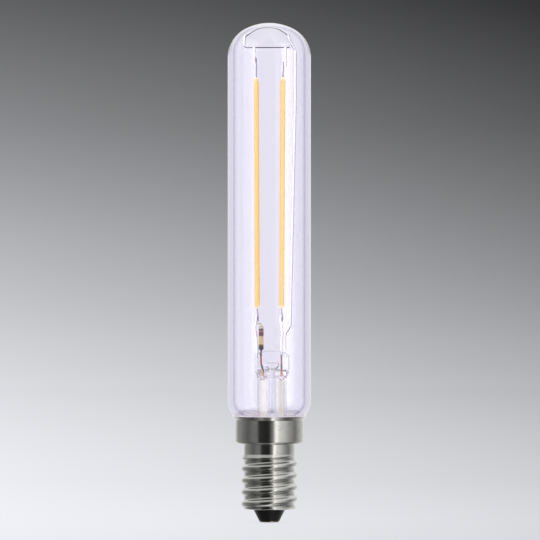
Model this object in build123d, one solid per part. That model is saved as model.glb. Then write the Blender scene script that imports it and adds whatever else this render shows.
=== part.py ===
from build123d import *
import os
from math import asin, atan2, ceil, cos, degrees, radians, sin, sqrt, tan

# Millimetres. The origin is the middle of the contact's underside and +Z runs along the lamp to its dome.
# Names ending in _Z are heights above the origin, worked out from the sizes before them.

# Glass tube
LAMP_LENGTH = 120.0
TUBE_RADIUS = 10.0
GLASS_WALL = 1.3
CROWN_WALL = 0.6
DOME_CROWN_RADIUS = 12.5
DOME_SHOULDER_RADIUS = 7.8
FOOT_RADIUS = 5.5
FOOT_RETURN_RADIUS = 0.6

# Screw shell, sheet drawn over a knuckle thread
SHELL_WALL = 0.25
SHELL_BOTTOM_Z = 3.1
SHELL_MOUTH_RADIUS = 4.0
THREAD_PITCH = 2.822
THREAD_CREST_RADIUS = 6.8
THREAD_ROOT_RADIUS = 6.05
THREAD_FIRST_CREST_Z = 5.71
THREAD_LENGTH = 13.5
THREAD_FADE = 1.8
THREAD_BOTTOM_ROUND = 1.15
THREAD_ROOM = 0.1
THREAD_ARC_STEPS = 4
THREAD_TURNS_SPARE = 3
THREAD_LAP = 0.125
SHEET_UNDER_ROOT = 0.025
SHELL_NECK_STEP = 0.175
SHELL_NECK_LENGTH = 2.525
SHELL_STEP_RISE = 0.4
SHELL_BENDS = (0.35, 0.3, 0.3, 0.3, 0.6, 0.4)
COLLAR_RADIUS = 8.3
COLLAR_HEIGHT = 5.475
RIM_FLARE = 0.65
RIM_RISE = 0.9
RIM_GLASS_GAP = 0.12

THREAD_BOTTOM_Z = SHELL_BOTTOM_Z + 0.05
THREAD_END_Z = SHELL_BOTTOM_Z + THREAD_LENGTH
SHELL_BODY_RADIUS = THREAD_ROOT_RADIUS - SHEET_UNDER_ROOT
SHELL_BORE = SHELL_BODY_RADIUS - SHELL_WALL
SHELL_NECK_RADIUS = THREAD_ROOT_RADIUS + SHELL_NECK_STEP
SHELF_Z = THREAD_END_Z + SHELL_NECK_LENGTH
COLLAR_TOP_Z = SHELF_Z + COLLAR_HEIGHT
RIM_Z = COLLAR_TOP_Z + RIM_RISE
RIM_BORE = COLLAR_RADIUS + RIM_FLARE - SHELL_WALL

# Glass neck in the collar, with cement round and under it
CEMENT_THICKNESS = 0.35
CEMENT_BELOW_RIM = 0.4
CEMENT_FOOT_HEIGHT = 0.9
CEMENT_FOOT_WIDTH = 1.05
NECK_ABOVE_SHELF = 2.375

COLLAR_BORE = COLLAR_RADIUS - SHELL_WALL
NECK_RADIUS = COLLAR_BORE - CEMENT_THICKNESS
NECK_BORE = NECK_RADIUS - GLASS_WALL
NECK_END_Z = SHELF_Z + NECK_ABOVE_SHELF
FOOT_CENTRE_X = TUBE_RADIUS - FOOT_RADIUS
FOOT_AT_RIM = min(FOOT_RADIUS, RIM_BORE - RIM_GLASS_GAP - FOOT_CENTRE_X)
FOOT_START_Z = RIM_Z + sqrt(FOOT_RADIUS**2 - FOOT_AT_RIM**2)
CEMENT_TOP_Z = COLLAR_TOP_Z - CEMENT_BELOW_RIM
CEMENT_BOTTOM_Z = NECK_END_Z - CEMENT_FOOT_HEIGHT

# Black insulator and the contact riveted through it
INSULATOR_LAP = 2.5
INSULATOR_WAIST_GAP = 0.15
CONTACT_RADIUS = 2.35
CONTACT_THICKNESS = 0.3
CONTACT_EDGE_ROUND = 0.12
CONTACT_MARGIN = 0.1
EYELET_RADIUS = 0.9
EYELET_FLOOR = 0.4
EYELET_FLANGE_WIDTH = 0.6
EYELET_FLANGE_THICKNESS = 0.25
CONTACT_SOLDER_DEPTH = 1.9

INSULATOR_TOP_Z = SHELL_BOTTOM_Z + INSULATOR_LAP
EYELET_TOP_Z = INSULATOR_TOP_Z + EYELET_FLANGE_THICKNESS
EYELET_BORE_END_Z = CONTACT_THICKNESS + EYELET_FLOOR

# Wire thicknesses, as radii
SUPPORT_WIRE_RADIUS = 0.3
HANGER_RADIUS = 0.35
PIN_RADIUS = 0.15
LEAD_IN_RADIUS = 0.3
SEAL_WIRE_RADIUS = 0.2
COPPER_RADIUS = 0.25
FINE_WIRE_RADIUS = 0.2
TIGHT_BEND = 0.4
EASY_BEND = 0.8
EYELET_WALL = 0.4
EYELET_BORE_RADIUS = EYELET_RADIUS - EYELET_WALL

# Glass stem: flare, tube and press, all standing a little to the right of the lamp's axis
STEM_X = 0.7
STEM_RADIUS = 3.55
STEM_WALL = 0.5
STEM_LENGTH = 12.5
FLARE_ABOVE_NECK_END = 0.4
FLARE_RISE = 1.7
FLARE_BEND_RADIUS = 2.5
FLARE_LAP = 0.2
PRESS_WIDTH = 8.3
PRESS_DEPTH = 2.8
PRESS_CORNER = 1.2
PRESS_BLEND = 3.0
PRESS_HEIGHT = 7.2
PRESS_ARCH_RADIUS = 11.0
STEM_TUBE_LAP = 0.6
STEM_BORE_SHOULDER = 0.2
STEM_BORE_TOP = 1.2
EXHAUST_SOCKET_TOP = 1.6
TRUMPET_HALF_WIDTH = 1.75
TRUMPET_HALF_DEPTH = 0.9
TRUMPET_TOP_SHARE = 0.6
TRUMPET_WIDEST = 4.0
TRUMPET_TOP = 4.6
BLOW_HOLE_RADIUS = 0.45
BLOW_HOLE_RISE = 3.9

STEM_BORE = STEM_RADIUS - STEM_WALL
FLARE_END_Z = NECK_END_Z + FLARE_ABOVE_NECK_END
FLARE_BEND_Z = FLARE_END_Z + FLARE_RISE
PRESS_Z = NECK_END_Z + STEM_LENGTH
PRESS_TOP_Z = PRESS_Z + PRESS_HEIGHT

# Exhaust tube
EXHAUST_RADIUS = 1.3
EXHAUST_BORE_RADIUS = 0.6
EXHAUST_TIP_RISE = 3.0
EXHAUST_TIP_GLASS = 1.5

EXHAUST_TOP_Z = PRESS_Z + EXHAUST_SOCKET_TOP
EXHAUST_TIP_Z = NECK_END_Z + EXHAUST_TIP_RISE

# Leads in the stem and their sleeves
SLEEVE_GAP = 0.075
SLEEVE_WIRE_GAP = 0.05
SLEEVE_TOP_GAP = 0.1
SLEEVE_RISE = 1.5
SEAL_BOTTOM_RISE = 2.0
SEAL_LENGTH = 4.2
WIRE_FOOT_DEPTH = 1.7

LEAD_OFFSET = (EXHAUST_RADIUS + STEM_BORE) / 2
LEFT_SEAL_X = STEM_X - LEAD_OFFSET
RIGHT_SEAL_X = STEM_X + LEAD_OFFSET
SLEEVE_RADIUS = (STEM_BORE - EXHAUST_RADIUS) / 2 - SLEEVE_GAP
SEAL_BOTTOM_Z = PRESS_Z + SEAL_BOTTOM_RISE
SEAL_TOP_Z = SEAL_BOTTOM_Z + SEAL_LENGTH
WIRE_FOOT_Z = PRESS_TOP_Z - WIRE_FOOT_DEPTH

# Resistor standing on the left lead
RESISTOR_X = -1.95
RESISTOR_RADIUS = 0.575
RESISTOR_LENGTH = 5.8
RESISTOR_END_ROUND = 0.2
RESISTOR_PRESS_GAP = 0.2
RESISTOR_ARM_RISE = 0.55

RESISTOR_BOTTOM_Z = PRESS_TOP_Z + RESISTOR_PRESS_GAP
RESISTOR_TOP_Z = RESISTOR_BOTTOM_Z + RESISTOR_LENGTH
RESISTOR_ARM_Z = RESISTOR_TOP_Z + RESISTOR_ARM_RISE

# Lead-in wires above the press
LEAD_WELD_LENGTH = 1.0
LEAD_WELD_RISE = 0.55
LEFT_POST_X = -3.15
LEFT_POST_BOW_X = -3.5
LEFT_POST_BOW_DROP = 1.7
LEFT_POST_FOOT_X = -2.95
LEAD_FOOT_BEND_RISE = 1.0
RIGHT_LEAD_X = 2.74
RIGHT_LEAD_BOW_X = 3.1
RIGHT_LEAD_BOW_DROP = 2.9
RIGHT_LEAD_FOOT_X = 2.9

LEAD_WELD_Z = RESISTOR_ARM_Z + LEAD_WELD_RISE
LEAD_TOP_Z = LEAD_WELD_Z + LEAD_WELD_LENGTH
LEAD_FOOT_BEND_Z = PRESS_TOP_Z + LEAD_FOOT_BEND_RISE

# Support wire: a leg from the press to the dome and a D-shaped loop, its heights from the loop's bar
LOOP_BAR_DROP = 6.2
SUPPORT_FOOT_X = 3.78
SUPPORT_STEP_START_RISE = 4.0
SUPPORT_STEP_X = 5.03
SUPPORT_STEP_RISE = 2.0
SUPPORT_LEG_X = 6.28
SUPPORT_LEG_STRAIGHT_DROP = 12.3
SUPPORT_LEG_TOP_DROP = 0.9
LOOP_NECK_X = 4.85
LOOP_NECK_RISE = 1.7
LOOP_ARC_START_X = 4.5
LOOP_ARC_START_RISE = 1.36
LOOP_PEAK_X = -0.4
LOOP_ARC_SLOPE = 36.0
LOOP_ARC_RADIUS = 6.0
LOOP_LEFT_X = -6.0
LOOP_BAR_END_X = 4.88

LOOP_BAR_Z = LAMP_LENGTH - LOOP_BAR_DROP
LOOP_NECK_Z = LOOP_BAR_Z + LOOP_NECK_RISE
LOOP_ARC_START_Z = LOOP_NECK_Z + LOOP_ARC_START_RISE

# Filaments, each leaning a little, as (x at the top, x at the bottom)
FILAMENT_BELOW_BAR = 6.85
FILAMENT_ABOVE_LEADS = 1.97
FILAMENT_RADIUS = 0.6
FILAMENT_END_ROUND = 0.4
LEFT_FILAMENT_X = (-3.13, -2.86)
RIGHT_FILAMENT_X = (3.29, 2.98)
STRIP_INSET = 0.4
STRIP_WIDTH = 0.7
STRIP_THICKNESS = 0.35
CHIP_COUNT = 28
CHIP_WIDTH = 0.4
CHIP_LENGTH = 1.1
CHIP_THICKNESS = 0.15

FILAMENT_TOP_Z = LOOP_BAR_Z - FILAMENT_BELOW_BAR
FILAMENT_BOTTOM_Z = LEAD_TOP_Z + FILAMENT_ABOVE_LEADS
STRIP_TOP_Z = FILAMENT_TOP_Z - STRIP_INSET
STRIP_BOTTOM_Z = FILAMENT_BOTTOM_Z + STRIP_INSET

# Hangers and pins
LEFT_HANGER_X = -3.62
LEFT_HANGER_LENGTH = 3.25
RIGHT_HANGER_X = 3.9
RIGHT_HANGER_LENGTH = 4.2
PIN_WELD_LENGTH = 1.0
PIN_STRAIGHT = 1.0

# Driver board, standing in an insulating sleeve
LINER_GAP = 0.175
LINER_WALL = 0.25
LINER_BELOW_SHELF = 0.725
BOARD_THICKNESS = 0.8
BOARD_SIDE_GAP = 0.035
BOARD_ABOVE_INSULATOR = 1.1
BOARD_BELOW_SHELF = 0.225
BOARD_CORNER = 0.4
CAPACITOR_RADIUS = 2.0
CAPACITOR_LENGTH = 6.8
CAPACITOR_RISE = 0.5
CAPACITOR_GAP = 0.1
CAPACITOR_ROUND = 0.3
CAPACITOR_LEAD_X = 0.75
CAPACITOR_LEAD_RISE = 1.2
BRIDGE_SIZE = (4.2, 1.4, 2.8)
BRIDGE_BELOW_TOP = 2.7
BRIDGE_PITCH = 2.54
DRIVER_SIZE = (4.8, 1.4, 3.8)
DRIVER_RISE = 4.0
DRIVER_PITCH = 1.27
CHIP_STANDOFF = 0.1
LEG_WIDTH = 0.4
LEG_THICKNESS = 0.15
LEG_REACH = 0.75
SMALL_CHIP_SIZE = (1.6, 0.5, 0.8)
SMALL_CHIP_PITCH = 2.4
SMALL_CHIP_RISE = 0.6
FUSE_RADIUS = 0.8
FUSE_LENGTH = 3.4
FUSE_RISE = 2.3
FUSE_SIDE_GAP = 0.4
FUSE_BOARD_GAP = 0.2
FUSE_LEAD_RISE = 1.0
FUSE_LEAD_GAP = 0.05

LINER_RADIUS = SHELL_BORE - LINER_GAP
LINER_BORE = LINER_RADIUS - LINER_WALL
LINER_TOP_Z = SHELF_Z - LINER_BELOW_SHELF
BOARD_FACE = BOARD_THICKNESS / 2
BOARD_HALF_WIDTH = sqrt((LINER_BORE - BOARD_SIDE_GAP) ** 2 - BOARD_FACE**2)
BOARD_BOTTOM_Z = INSULATOR_TOP_Z + BOARD_ABOVE_INSULATOR
BOARD_TOP_Z = SHELF_Z - BOARD_BELOW_SHELF
CAPACITOR_Y = -(BOARD_FACE + CAPACITOR_GAP + CAPACITOR_RADIUS)
CAPACITOR_BOTTOM_Z = BOARD_BOTTOM_Z + CAPACITOR_RISE
CAPACITOR_TOP_Z = CAPACITOR_BOTTOM_Z + CAPACITOR_LENGTH
FUSE_X = CAPACITOR_RADIUS + FUSE_SIDE_GAP + FUSE_RADIUS
FUSE_Y = -(BOARD_FACE + FUSE_BOARD_GAP + FUSE_RADIUS)
FUSE_BOTTOM_Z = BOARD_BOTTOM_Z + FUSE_RISE
FUSE_TOP_Z = FUSE_BOTTOM_Z + FUSE_LENGTH
FUSE_LEAD_Z = EYELET_TOP_Z + FINE_WIRE_RADIUS + FUSE_LEAD_GAP

# Leads soldered to the board, and the wire to the screw shell
LEAD_BEND_ABOVE_BOARD = 1.7
LEAD_BEND_DROP = 1.0
LEAD_ON_BOARD = 1.7
SOLDER_FILM = 0.05
BOARD_SOLDER_RADIUS = 0.65
BOARD_SOLDER_DROP = 1.0
SHELL_WIRE_SIDE_GAP = 1.1
SHELL_WIRE_ON_BOARD = 3.4
SHELL_WIRE_SOLDER_DROP = 2.7
SHELL_WIRE_END_GAP = 1.0
SHELL_SOLDER_END_GAP = 1.35
SHELL_SOLDER_RADIUS = 0.5

SHELL_WIRE_X = SHELL_WIRE_SIDE_GAP - BOARD_HALF_WIDTH
SHELL_WIRE_Y = BOARD_FACE + SOLDER_FILM + FINE_WIRE_RADIUS
SHELL_WIRE_TOP_Z = SHELF_Z + SOLDER_FILM + FINE_WIRE_RADIUS
SHELL_WIRE_END_X = SHELL_WIRE_END_GAP - COLLAR_RADIUS
SHELL_SOLDER_X = SHELL_SOLDER_END_GAP - COLLAR_RADIUS


def turned(*edges):
    """The solid swept about the lamp's axis by a closed outline given as radius and height."""
    return revolve(make_face([Plane.XZ * edge for edge in edges]), Axis.Z)


def turned_outline(*points):
    return turned(Polyline(*points, close=True))


def disc(radius, low, high, x=0.0, y=0.0):
    column = Cylinder(radius, high - low, align=(Align.CENTER, Align.CENTER, Align.MIN))
    return Pos(x, y, low) * column


def turned_sheet(points, bends, wall):
    """Sheet of even thickness turned about the axis, from the line that runs through its middle."""
    strip = trace(FilletPolyline(*points, radius=bends), line_width=wall)
    return revolve(Plane.XZ * strip, Axis.Z)


def wire(points, radius, bends=TIGHT_BEND):
    """Round wire through the points, its corners bent to a radius."""
    if len(points) > 2:
        path = FilletPolyline(*points, radius=bends)
    else:
        path = Polyline(*points)
    section = Plane(path @ 0, z_dir=path % 0) * Circle(radius)
    return sweep(section, path=path)


def flat_wire(points, radius, bends=TIGHT_BEND):
    """Wire that stays in the middle plane, its points given as x and height."""
    return wire([(x, 0.0, height) for x, height in points], radius, bends)


def box_between(low, high):
    size = [b - a for a, b in zip(low, high)]
    block = Box(*size, align=(Align.MIN, Align.MIN, Align.MIN))
    return Pos(*low) * block


def tube_outline(inset, crown_inset):
    """Glass tube filled solid and moved in by the insets: dome, straight tube, rounded foot, neck."""
    crown_centre = LAMP_LENGTH - DOME_CROWN_RADIUS
    between = DOME_CROWN_RADIUS - crown_inset - (DOME_SHOULDER_RADIUS - inset)
    shoulder_x = TUBE_RADIUS - DOME_SHOULDER_RADIUS
    shoulder_rise = sqrt(between**2 - shoulder_x**2)
    shoulder_centre = crown_centre + shoulder_rise
    dome_angle = degrees(atan2(shoulder_rise, shoulder_x))

    return_centre_x = NECK_RADIUS + FOOT_RETURN_RADIUS
    foot_sum = FOOT_RADIUS + FOOT_RETURN_RADIUS
    foot_drop = sqrt(foot_sum**2 - (return_centre_x - FOOT_CENTRE_X) ** 2)
    foot_angle = degrees(atan2(foot_drop, return_centre_x - FOOT_CENTRE_X))
    return_centre = FOOT_START_Z - foot_drop

    side = TUBE_RADIUS - inset
    neck = NECK_RADIUS - inset
    low = NECK_END_Z - inset
    return turned(
        CenterArc((0, crown_centre), DOME_CROWN_RADIUS - crown_inset, dome_angle, 90 - dome_angle),
        CenterArc((shoulder_x, shoulder_centre), DOME_SHOULDER_RADIUS - inset, 0, dome_angle),
        Line((side, shoulder_centre), (side, FOOT_START_Z)),
        CenterArc((FOOT_CENTRE_X, FOOT_START_Z), FOOT_RADIUS - inset, -foot_angle, foot_angle),
        CenterArc((return_centre_x, return_centre), FOOT_RETURN_RADIUS + inset, 180 - foot_angle, foot_angle),
        Line((neck, return_centre), (neck, low)),
        Line((neck, low), (0, low)),
        Line((0, low), (0, LAMP_LENGTH - crown_inset)),
    )


def glass_envelope():
    below = disc(TUBE_RADIUS, 0, NECK_END_Z)
    return tube_outline(0.0, 0.0) - tube_outline(GLASS_WALL, CROWN_WALL) - below


def knuckle_points(crest):
    """One pitch of the knuckle thread as radius and height: a crest arc and a root arc of one radius."""
    half_depth = (THREAD_CREST_RADIUS - THREAD_ROOT_RADIUS) / 2
    quarter = THREAD_PITCH / 4
    arc = (quarter**2 + half_depth**2) / (2 * half_depth)
    reach = asin(quarter / arc)
    points = []
    for side, centre, height in (
        (1, THREAD_CREST_RADIUS - arc, crest),
        (-1, THREAD_ROOT_RADIUS + arc, crest + 2 * quarter),
    ):
        for step in range(THREAD_ARC_STEPS):
            angle = reach * (2 * step / THREAD_ARC_STEPS - 1)
            points.append((centre + side * arc * cos(angle), height + arc * sin(angle)))
    return points


def thread_half_turn():
    """Half a turn of the thread: a wavy strip longer than the shell, rising as it turns."""
    first = THREAD_FIRST_CREST_Z - THREAD_TURNS_SPARE * THREAD_PITCH
    turns = ceil(THREAD_LENGTH / THREAD_PITCH) + THREAD_TURNS_SPARE
    points = []
    for turn in range(turns):
        points.extend(knuckle_points(first + turn * THREAD_PITCH))
    bottom, top = points[0][1], points[0][1] + turns * THREAD_PITCH
    inner = SHELL_BODY_RADIUS - THREAD_LAP
    points.extend([(points[0][0], top), (inner, top), (inner, bottom)])
    section = make_face(Plane.XZ * Polyline(*points, close=True))
    rise = Helix(pitch=THREAD_PITCH, height=THREAD_PITCH / 2, radius=THREAD_CREST_RADIUS)
    return sweep(section, path=rise, is_frenet=True)


def thread_envelope():
    """The room the thread may fill: rounded in at the bottom, fading to the neck at the top."""
    outer = THREAD_CREST_RADIUS + THREAD_ROOM
    start = outer - THREAD_BOTTOM_ROUND
    centre = THREAD_BOTTOM_Z + THREAD_BOTTOM_ROUND
    return turned(
        CenterArc((start, centre), THREAD_BOTTOM_ROUND, -90, 90),
        Polyline(
            (outer, centre),
            (outer, THREAD_END_Z - THREAD_FADE),
            (SHELL_NECK_RADIUS - SHELL_WALL / 2, THREAD_END_Z),
            (start, THREAD_END_Z),
            (start, THREAD_BOTTOM_Z),
        ),
    )


def shell_sheet():
    half = SHELL_WALL / 2
    points = [
        (SHELL_MOUTH_RADIUS, SHELL_BOTTOM_Z + half),
        (SHELL_BODY_RADIUS - half, SHELL_BOTTOM_Z + half),
        (SHELL_BODY_RADIUS - half, THREAD_END_Z - SHELL_STEP_RISE),
        (SHELL_NECK_RADIUS - half, THREAD_END_Z),
        (SHELL_NECK_RADIUS - half, SHELF_Z - half),
        (COLLAR_RADIUS - half, SHELF_Z - half),
        (COLLAR_RADIUS - half, COLLAR_TOP_Z),
        (COLLAR_RADIUS + RIM_FLARE - half, RIM_Z),
    ]
    return turned_sheet(points, SHELL_BENDS, SHELL_WALL)


def cap_shell():
    half_turn = thread_half_turn()
    other_half = Pos(0, 0, THREAD_PITCH / 2) * Rot(0, 0, 180) * half_turn
    room = thread_envelope()
    return (half_turn & room) + (other_half & room) + shell_sheet()


def insulator():
    body = turned_outline(
        (EYELET_RADIUS, CONTACT_THICKNESS),
        (CONTACT_RADIUS + CONTACT_MARGIN, CONTACT_THICKNESS),
        (SHELL_MOUTH_RADIUS - INSULATOR_WAIST_GAP, SHELL_BOTTOM_Z),
        (SHELL_MOUTH_RADIUS, SHELL_BOTTOM_Z),
        (SHELL_MOUTH_RADIUS, SHELL_BOTTOM_Z + SHELL_WALL),
        (SHELL_BORE, SHELL_BOTTOM_Z + SHELL_WALL),
        (SHELL_BORE, INSULATOR_TOP_Z),
        (EYELET_RADIUS, INSULATOR_TOP_Z),
    )
    return body - shell_sheet()


def centre_contact():
    plate = disc(CONTACT_RADIUS, 0, CONTACT_THICKNESS)
    plate = fillet(plate.edges().sort_by(Axis.Z)[0], CONTACT_EDGE_ROUND)
    eyelet = disc(EYELET_RADIUS, CONTACT_THICKNESS, INSULATOR_TOP_Z)
    flange = disc(EYELET_RADIUS + EYELET_FLANGE_WIDTH, INSULATOR_TOP_Z, EYELET_TOP_Z)
    bore = disc(EYELET_BORE_RADIUS, EYELET_BORE_END_Z, EYELET_TOP_Z)
    return plate + eyelet + flange - bore


def fuse_wires():
    bend = FUSE_TOP_Z + FUSE_LEAD_RISE
    upper = wire(
        [(FUSE_X, FUSE_Y, FUSE_TOP_Z), (FUSE_X, FUSE_Y, bend), (FUSE_X, -BOARD_FACE, bend)],
        FINE_WIRE_RADIUS,
    )
    lower = wire(
        [
            (FUSE_X, FUSE_Y, FUSE_BOTTOM_Z),
            (FUSE_X, FUSE_Y, FUSE_LEAD_Z),
            (0.0, 0.0, FUSE_LEAD_Z),
            (0.0, 0.0, EYELET_BORE_END_Z),
        ],
        FINE_WIRE_RADIUS,
        EYELET_BORE_RADIUS,
    )
    return upper, lower


def fuse_resistor():
    body = disc(FUSE_RADIUS, FUSE_BOTTOM_Z, FUSE_TOP_Z, FUSE_X, FUSE_Y)
    ends = body.edges().filter_by(GeomType.CIRCLE)
    body = fillet(ends, RESISTOR_END_ROUND)
    upper, lower = fuse_wires()
    return body + upper + lower


def contact_solder():
    top = EYELET_BORE_END_Z + CONTACT_SOLDER_DEPTH
    fill = disc(EYELET_BORE_RADIUS, EYELET_BORE_END_Z, top)
    return fill - fuse_wires()[1]


def basing_cement():
    inner = COLLAR_BORE - CEMENT_FOOT_WIDTH
    return turned_outline(
        (inner, CEMENT_BOTTOM_Z),
        (COLLAR_BORE, CEMENT_BOTTOM_Z),
        (COLLAR_BORE, CEMENT_TOP_Z),
        (NECK_RADIUS, CEMENT_TOP_Z),
        (NECK_RADIUS, NECK_END_Z),
        (inner, NECK_END_Z),
    )


def left_post_wire():
    points = [
        (LEFT_POST_X, LEAD_TOP_Z),
        (LEFT_POST_X, LEAD_WELD_Z),
        (LEFT_POST_BOW_X, LEAD_WELD_Z - LEFT_POST_BOW_DROP),
        (LEFT_POST_FOOT_X, LEAD_FOOT_BEND_Z),
        (LEFT_POST_FOOT_X, WIRE_FOOT_Z),
    ]
    return flat_wire(points, LEAD_IN_RADIUS, EASY_BEND)


def right_lead_wire():
    points = [
        (RIGHT_LEAD_X, LEAD_TOP_Z),
        (RIGHT_LEAD_X, LEAD_WELD_Z),
        (RIGHT_LEAD_BOW_X, LEAD_WELD_Z - RIGHT_LEAD_BOW_DROP),
        (RIGHT_LEAD_FOOT_X, LEAD_FOOT_BEND_Z),
        (RIGHT_LEAD_FOOT_X, SEAL_TOP_Z),
    ]
    return flat_wire(points, LEAD_IN_RADIUS, EASY_BEND)


def series_resistor():
    """Axial part welded between the seal wire under it and the left post beside it."""
    x, arm = RESISTOR_X, RESISTOR_ARM_Z
    body = disc(RESISTOR_RADIUS, RESISTOR_BOTTOM_Z, RESISTOR_TOP_Z, x)
    body = fillet(body.edges().filter_by(GeomType.CIRCLE), RESISTOR_END_ROUND)
    lower = flat_wire([(x, SEAL_TOP_Z), (x, RESISTOR_BOTTOM_Z)], FINE_WIRE_RADIUS)
    upper = flat_wire([(x, RESISTOR_TOP_Z), (x, arm), (LEFT_POST_X, arm)], FINE_WIRE_RADIUS)
    return body + lower + upper - left_post_wire()


def seal_wire(x_low, x_high):
    """Wire in the press, from a copper lead's place to the place of the wire above it."""
    step = (SEAL_TOP_Z + SEAL_BOTTOM_Z + TIGHT_BEND) / 2
    points = [
        (x_low, SEAL_BOTTOM_Z),
        (x_low, SEAL_BOTTOM_Z + TIGHT_BEND),
        (x_high, step),
        (x_high, SEAL_TOP_Z),
    ]
    return flat_wire(points, SEAL_WIRE_RADIUS, TIGHT_BEND)


def copper_lead(x):
    """Lead from the seal down through its sleeve, then forward to lie on the board's face."""
    y = -(BOARD_FACE + SOLDER_FILM + COPPER_RADIUS)
    bend = BOARD_TOP_Z + LEAD_BEND_ABOVE_BOARD
    points = [
        (x, 0.0, SEAL_BOTTOM_Z),
        (x, 0.0, bend),
        (x, y, bend - LEAD_BEND_DROP),
        (x, y, BOARD_TOP_Z - LEAD_ON_BOARD),
    ]
    return wire(points, COPPER_RADIUS, TIGHT_BEND)


def lead_sleeve(x):
    low, high = NECK_END_Z + SLEEVE_RISE, PRESS_Z + SLEEVE_TOP_GAP
    return disc(SLEEVE_RADIUS, low, high, x) - disc(COPPER_RADIUS + SLEEVE_WIRE_GAP, low, high, x)


def support_wire():
    peak = LOOP_ARC_START_Z + (LOOP_ARC_START_X - LOOP_PEAK_X) * tan(radians(LOOP_ARC_SLOPE))
    left_top = peak - (LOOP_PEAK_X - LOOP_LEFT_X) * tan(radians(LOOP_ARC_SLOPE))
    step = PRESS_TOP_Z + SUPPORT_STEP_START_RISE
    points = [
        (SUPPORT_FOOT_X, WIRE_FOOT_Z),
        (SUPPORT_FOOT_X, step),
        (SUPPORT_STEP_X, step + SUPPORT_STEP_RISE),
        (SUPPORT_LEG_X, LOOP_BAR_Z - SUPPORT_LEG_STRAIGHT_DROP),
        (SUPPORT_LEG_X, LOOP_BAR_Z - SUPPORT_LEG_TOP_DROP),
        (LOOP_NECK_X, LOOP_NECK_Z),
        (LOOP_ARC_START_X, LOOP_ARC_START_Z),
        (LOOP_PEAK_X, peak),
        (LOOP_LEFT_X, left_top),
        (LOOP_LEFT_X, LOOP_BAR_Z),
        (LOOP_BAR_END_X, LOOP_BAR_Z),
    ]
    tight, easy = TIGHT_BEND, EASY_BEND
    bends = (easy, easy, easy, easy, tight, tight, LOOP_ARC_RADIUS, easy, easy)
    return flat_wire(points, SUPPORT_WIRE_RADIUS, bends)


def hanger_wire(x, length):
    return disc(HANGER_RADIUS, LOOP_BAR_Z - length, LOOP_BAR_Z, x) - support_wire()


def top_pin(hanger_x, hanger_length, filament_x):
    """Pin from the strip's end to the hanger's inner side, where it is welded."""
    toward = 1 if filament_x > hanger_x else -1
    x = hanger_x + toward * (HANGER_RADIUS + PIN_RADIUS)
    hanger_end = LOOP_BAR_Z - hanger_length
    points = [
        (filament_x, STRIP_TOP_Z),
        (filament_x, FILAMENT_TOP_Z + PIN_STRAIGHT),
        (x, hanger_end - PIN_STRAIGHT),
        (x, hanger_end + PIN_WELD_LENGTH),
    ]
    return flat_wire(points, PIN_RADIUS)


def bottom_pin(lead_x, filament_x):
    toward = 1 if filament_x > lead_x else -1
    x = lead_x + toward * (LEAD_IN_RADIUS + PIN_RADIUS)
    points = [
        (filament_x, STRIP_BOTTOM_Z),
        (filament_x, FILAMENT_BOTTOM_Z - PIN_STRAIGHT),
        (x, LEAD_TOP_Z + PIN_RADIUS),
        (x, LEAD_WELD_Z),
    ]
    return flat_wire(points, PIN_RADIUS)


def along_filament(x_ends, shape):
    """A shape made along +Z about its own middle, leant to lie along a filament."""
    x_top, x_bottom = x_ends
    lean = degrees(atan2(x_top - x_bottom, FILAMENT_TOP_Z - FILAMENT_BOTTOM_Z))
    middle = (FILAMENT_TOP_Z + FILAMENT_BOTTOM_Z) / 2
    return Pos((x_top + x_bottom) / 2, 0, middle) * Rot(0, lean, 0) * shape


def led_strip(x_ends):
    return along_filament(x_ends, Box(STRIP_WIDTH, STRIP_THICKNESS, STRIP_TOP_Z - STRIP_BOTTOM_Z))


def led_chips(x_ends):
    pitch = (STRIP_TOP_Z - STRIP_BOTTOM_Z) / CHIP_COUNT
    y = -(STRIP_THICKNESS + CHIP_THICKNESS) / 2
    middle = (CHIP_COUNT - 1) / 2
    chips = [
        Pos(0, y, (index - middle) * pitch) * Box(CHIP_WIDTH, CHIP_THICKNESS, CHIP_LENGTH)
        for index in range(CHIP_COUNT)
    ]
    return along_filament(x_ends, Compound(children=chips))


def filament(x_ends, pins):
    coat = Cylinder(FILAMENT_RADIUS, FILAMENT_TOP_Z - FILAMENT_BOTTOM_Z)
    coat = fillet(coat.edges().filter_by(GeomType.CIRCLE), FILAMENT_END_ROUND)
    coat = along_filament(x_ends, coat) - led_strip(x_ends)
    for chip in led_chips(x_ends).solids():
        coat = coat - chip
    for pin in pins:
        coat = coat - pin
    return coat


def stem_press():
    foot = Pos(0, 0, PRESS_Z) * Circle(STEM_RADIUS)
    slab_foot = Pos(0, 0, PRESS_Z + PRESS_BLEND) * RectangleRounded(PRESS_WIDTH, PRESS_DEPTH, PRESS_CORNER)
    blend = loft([foot, slab_foot])
    slab = extrude(slab_foot, PRESS_HEIGHT - PRESS_BLEND)
    arch = Rot(90, 0, 0) * Cylinder(PRESS_ARCH_RADIUS, 2 * PRESS_DEPTH)
    arch = Pos(0, 0, PRESS_TOP_Z - PRESS_ARCH_RADIUS) * arch
    return blend + (slab & arch)


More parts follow.
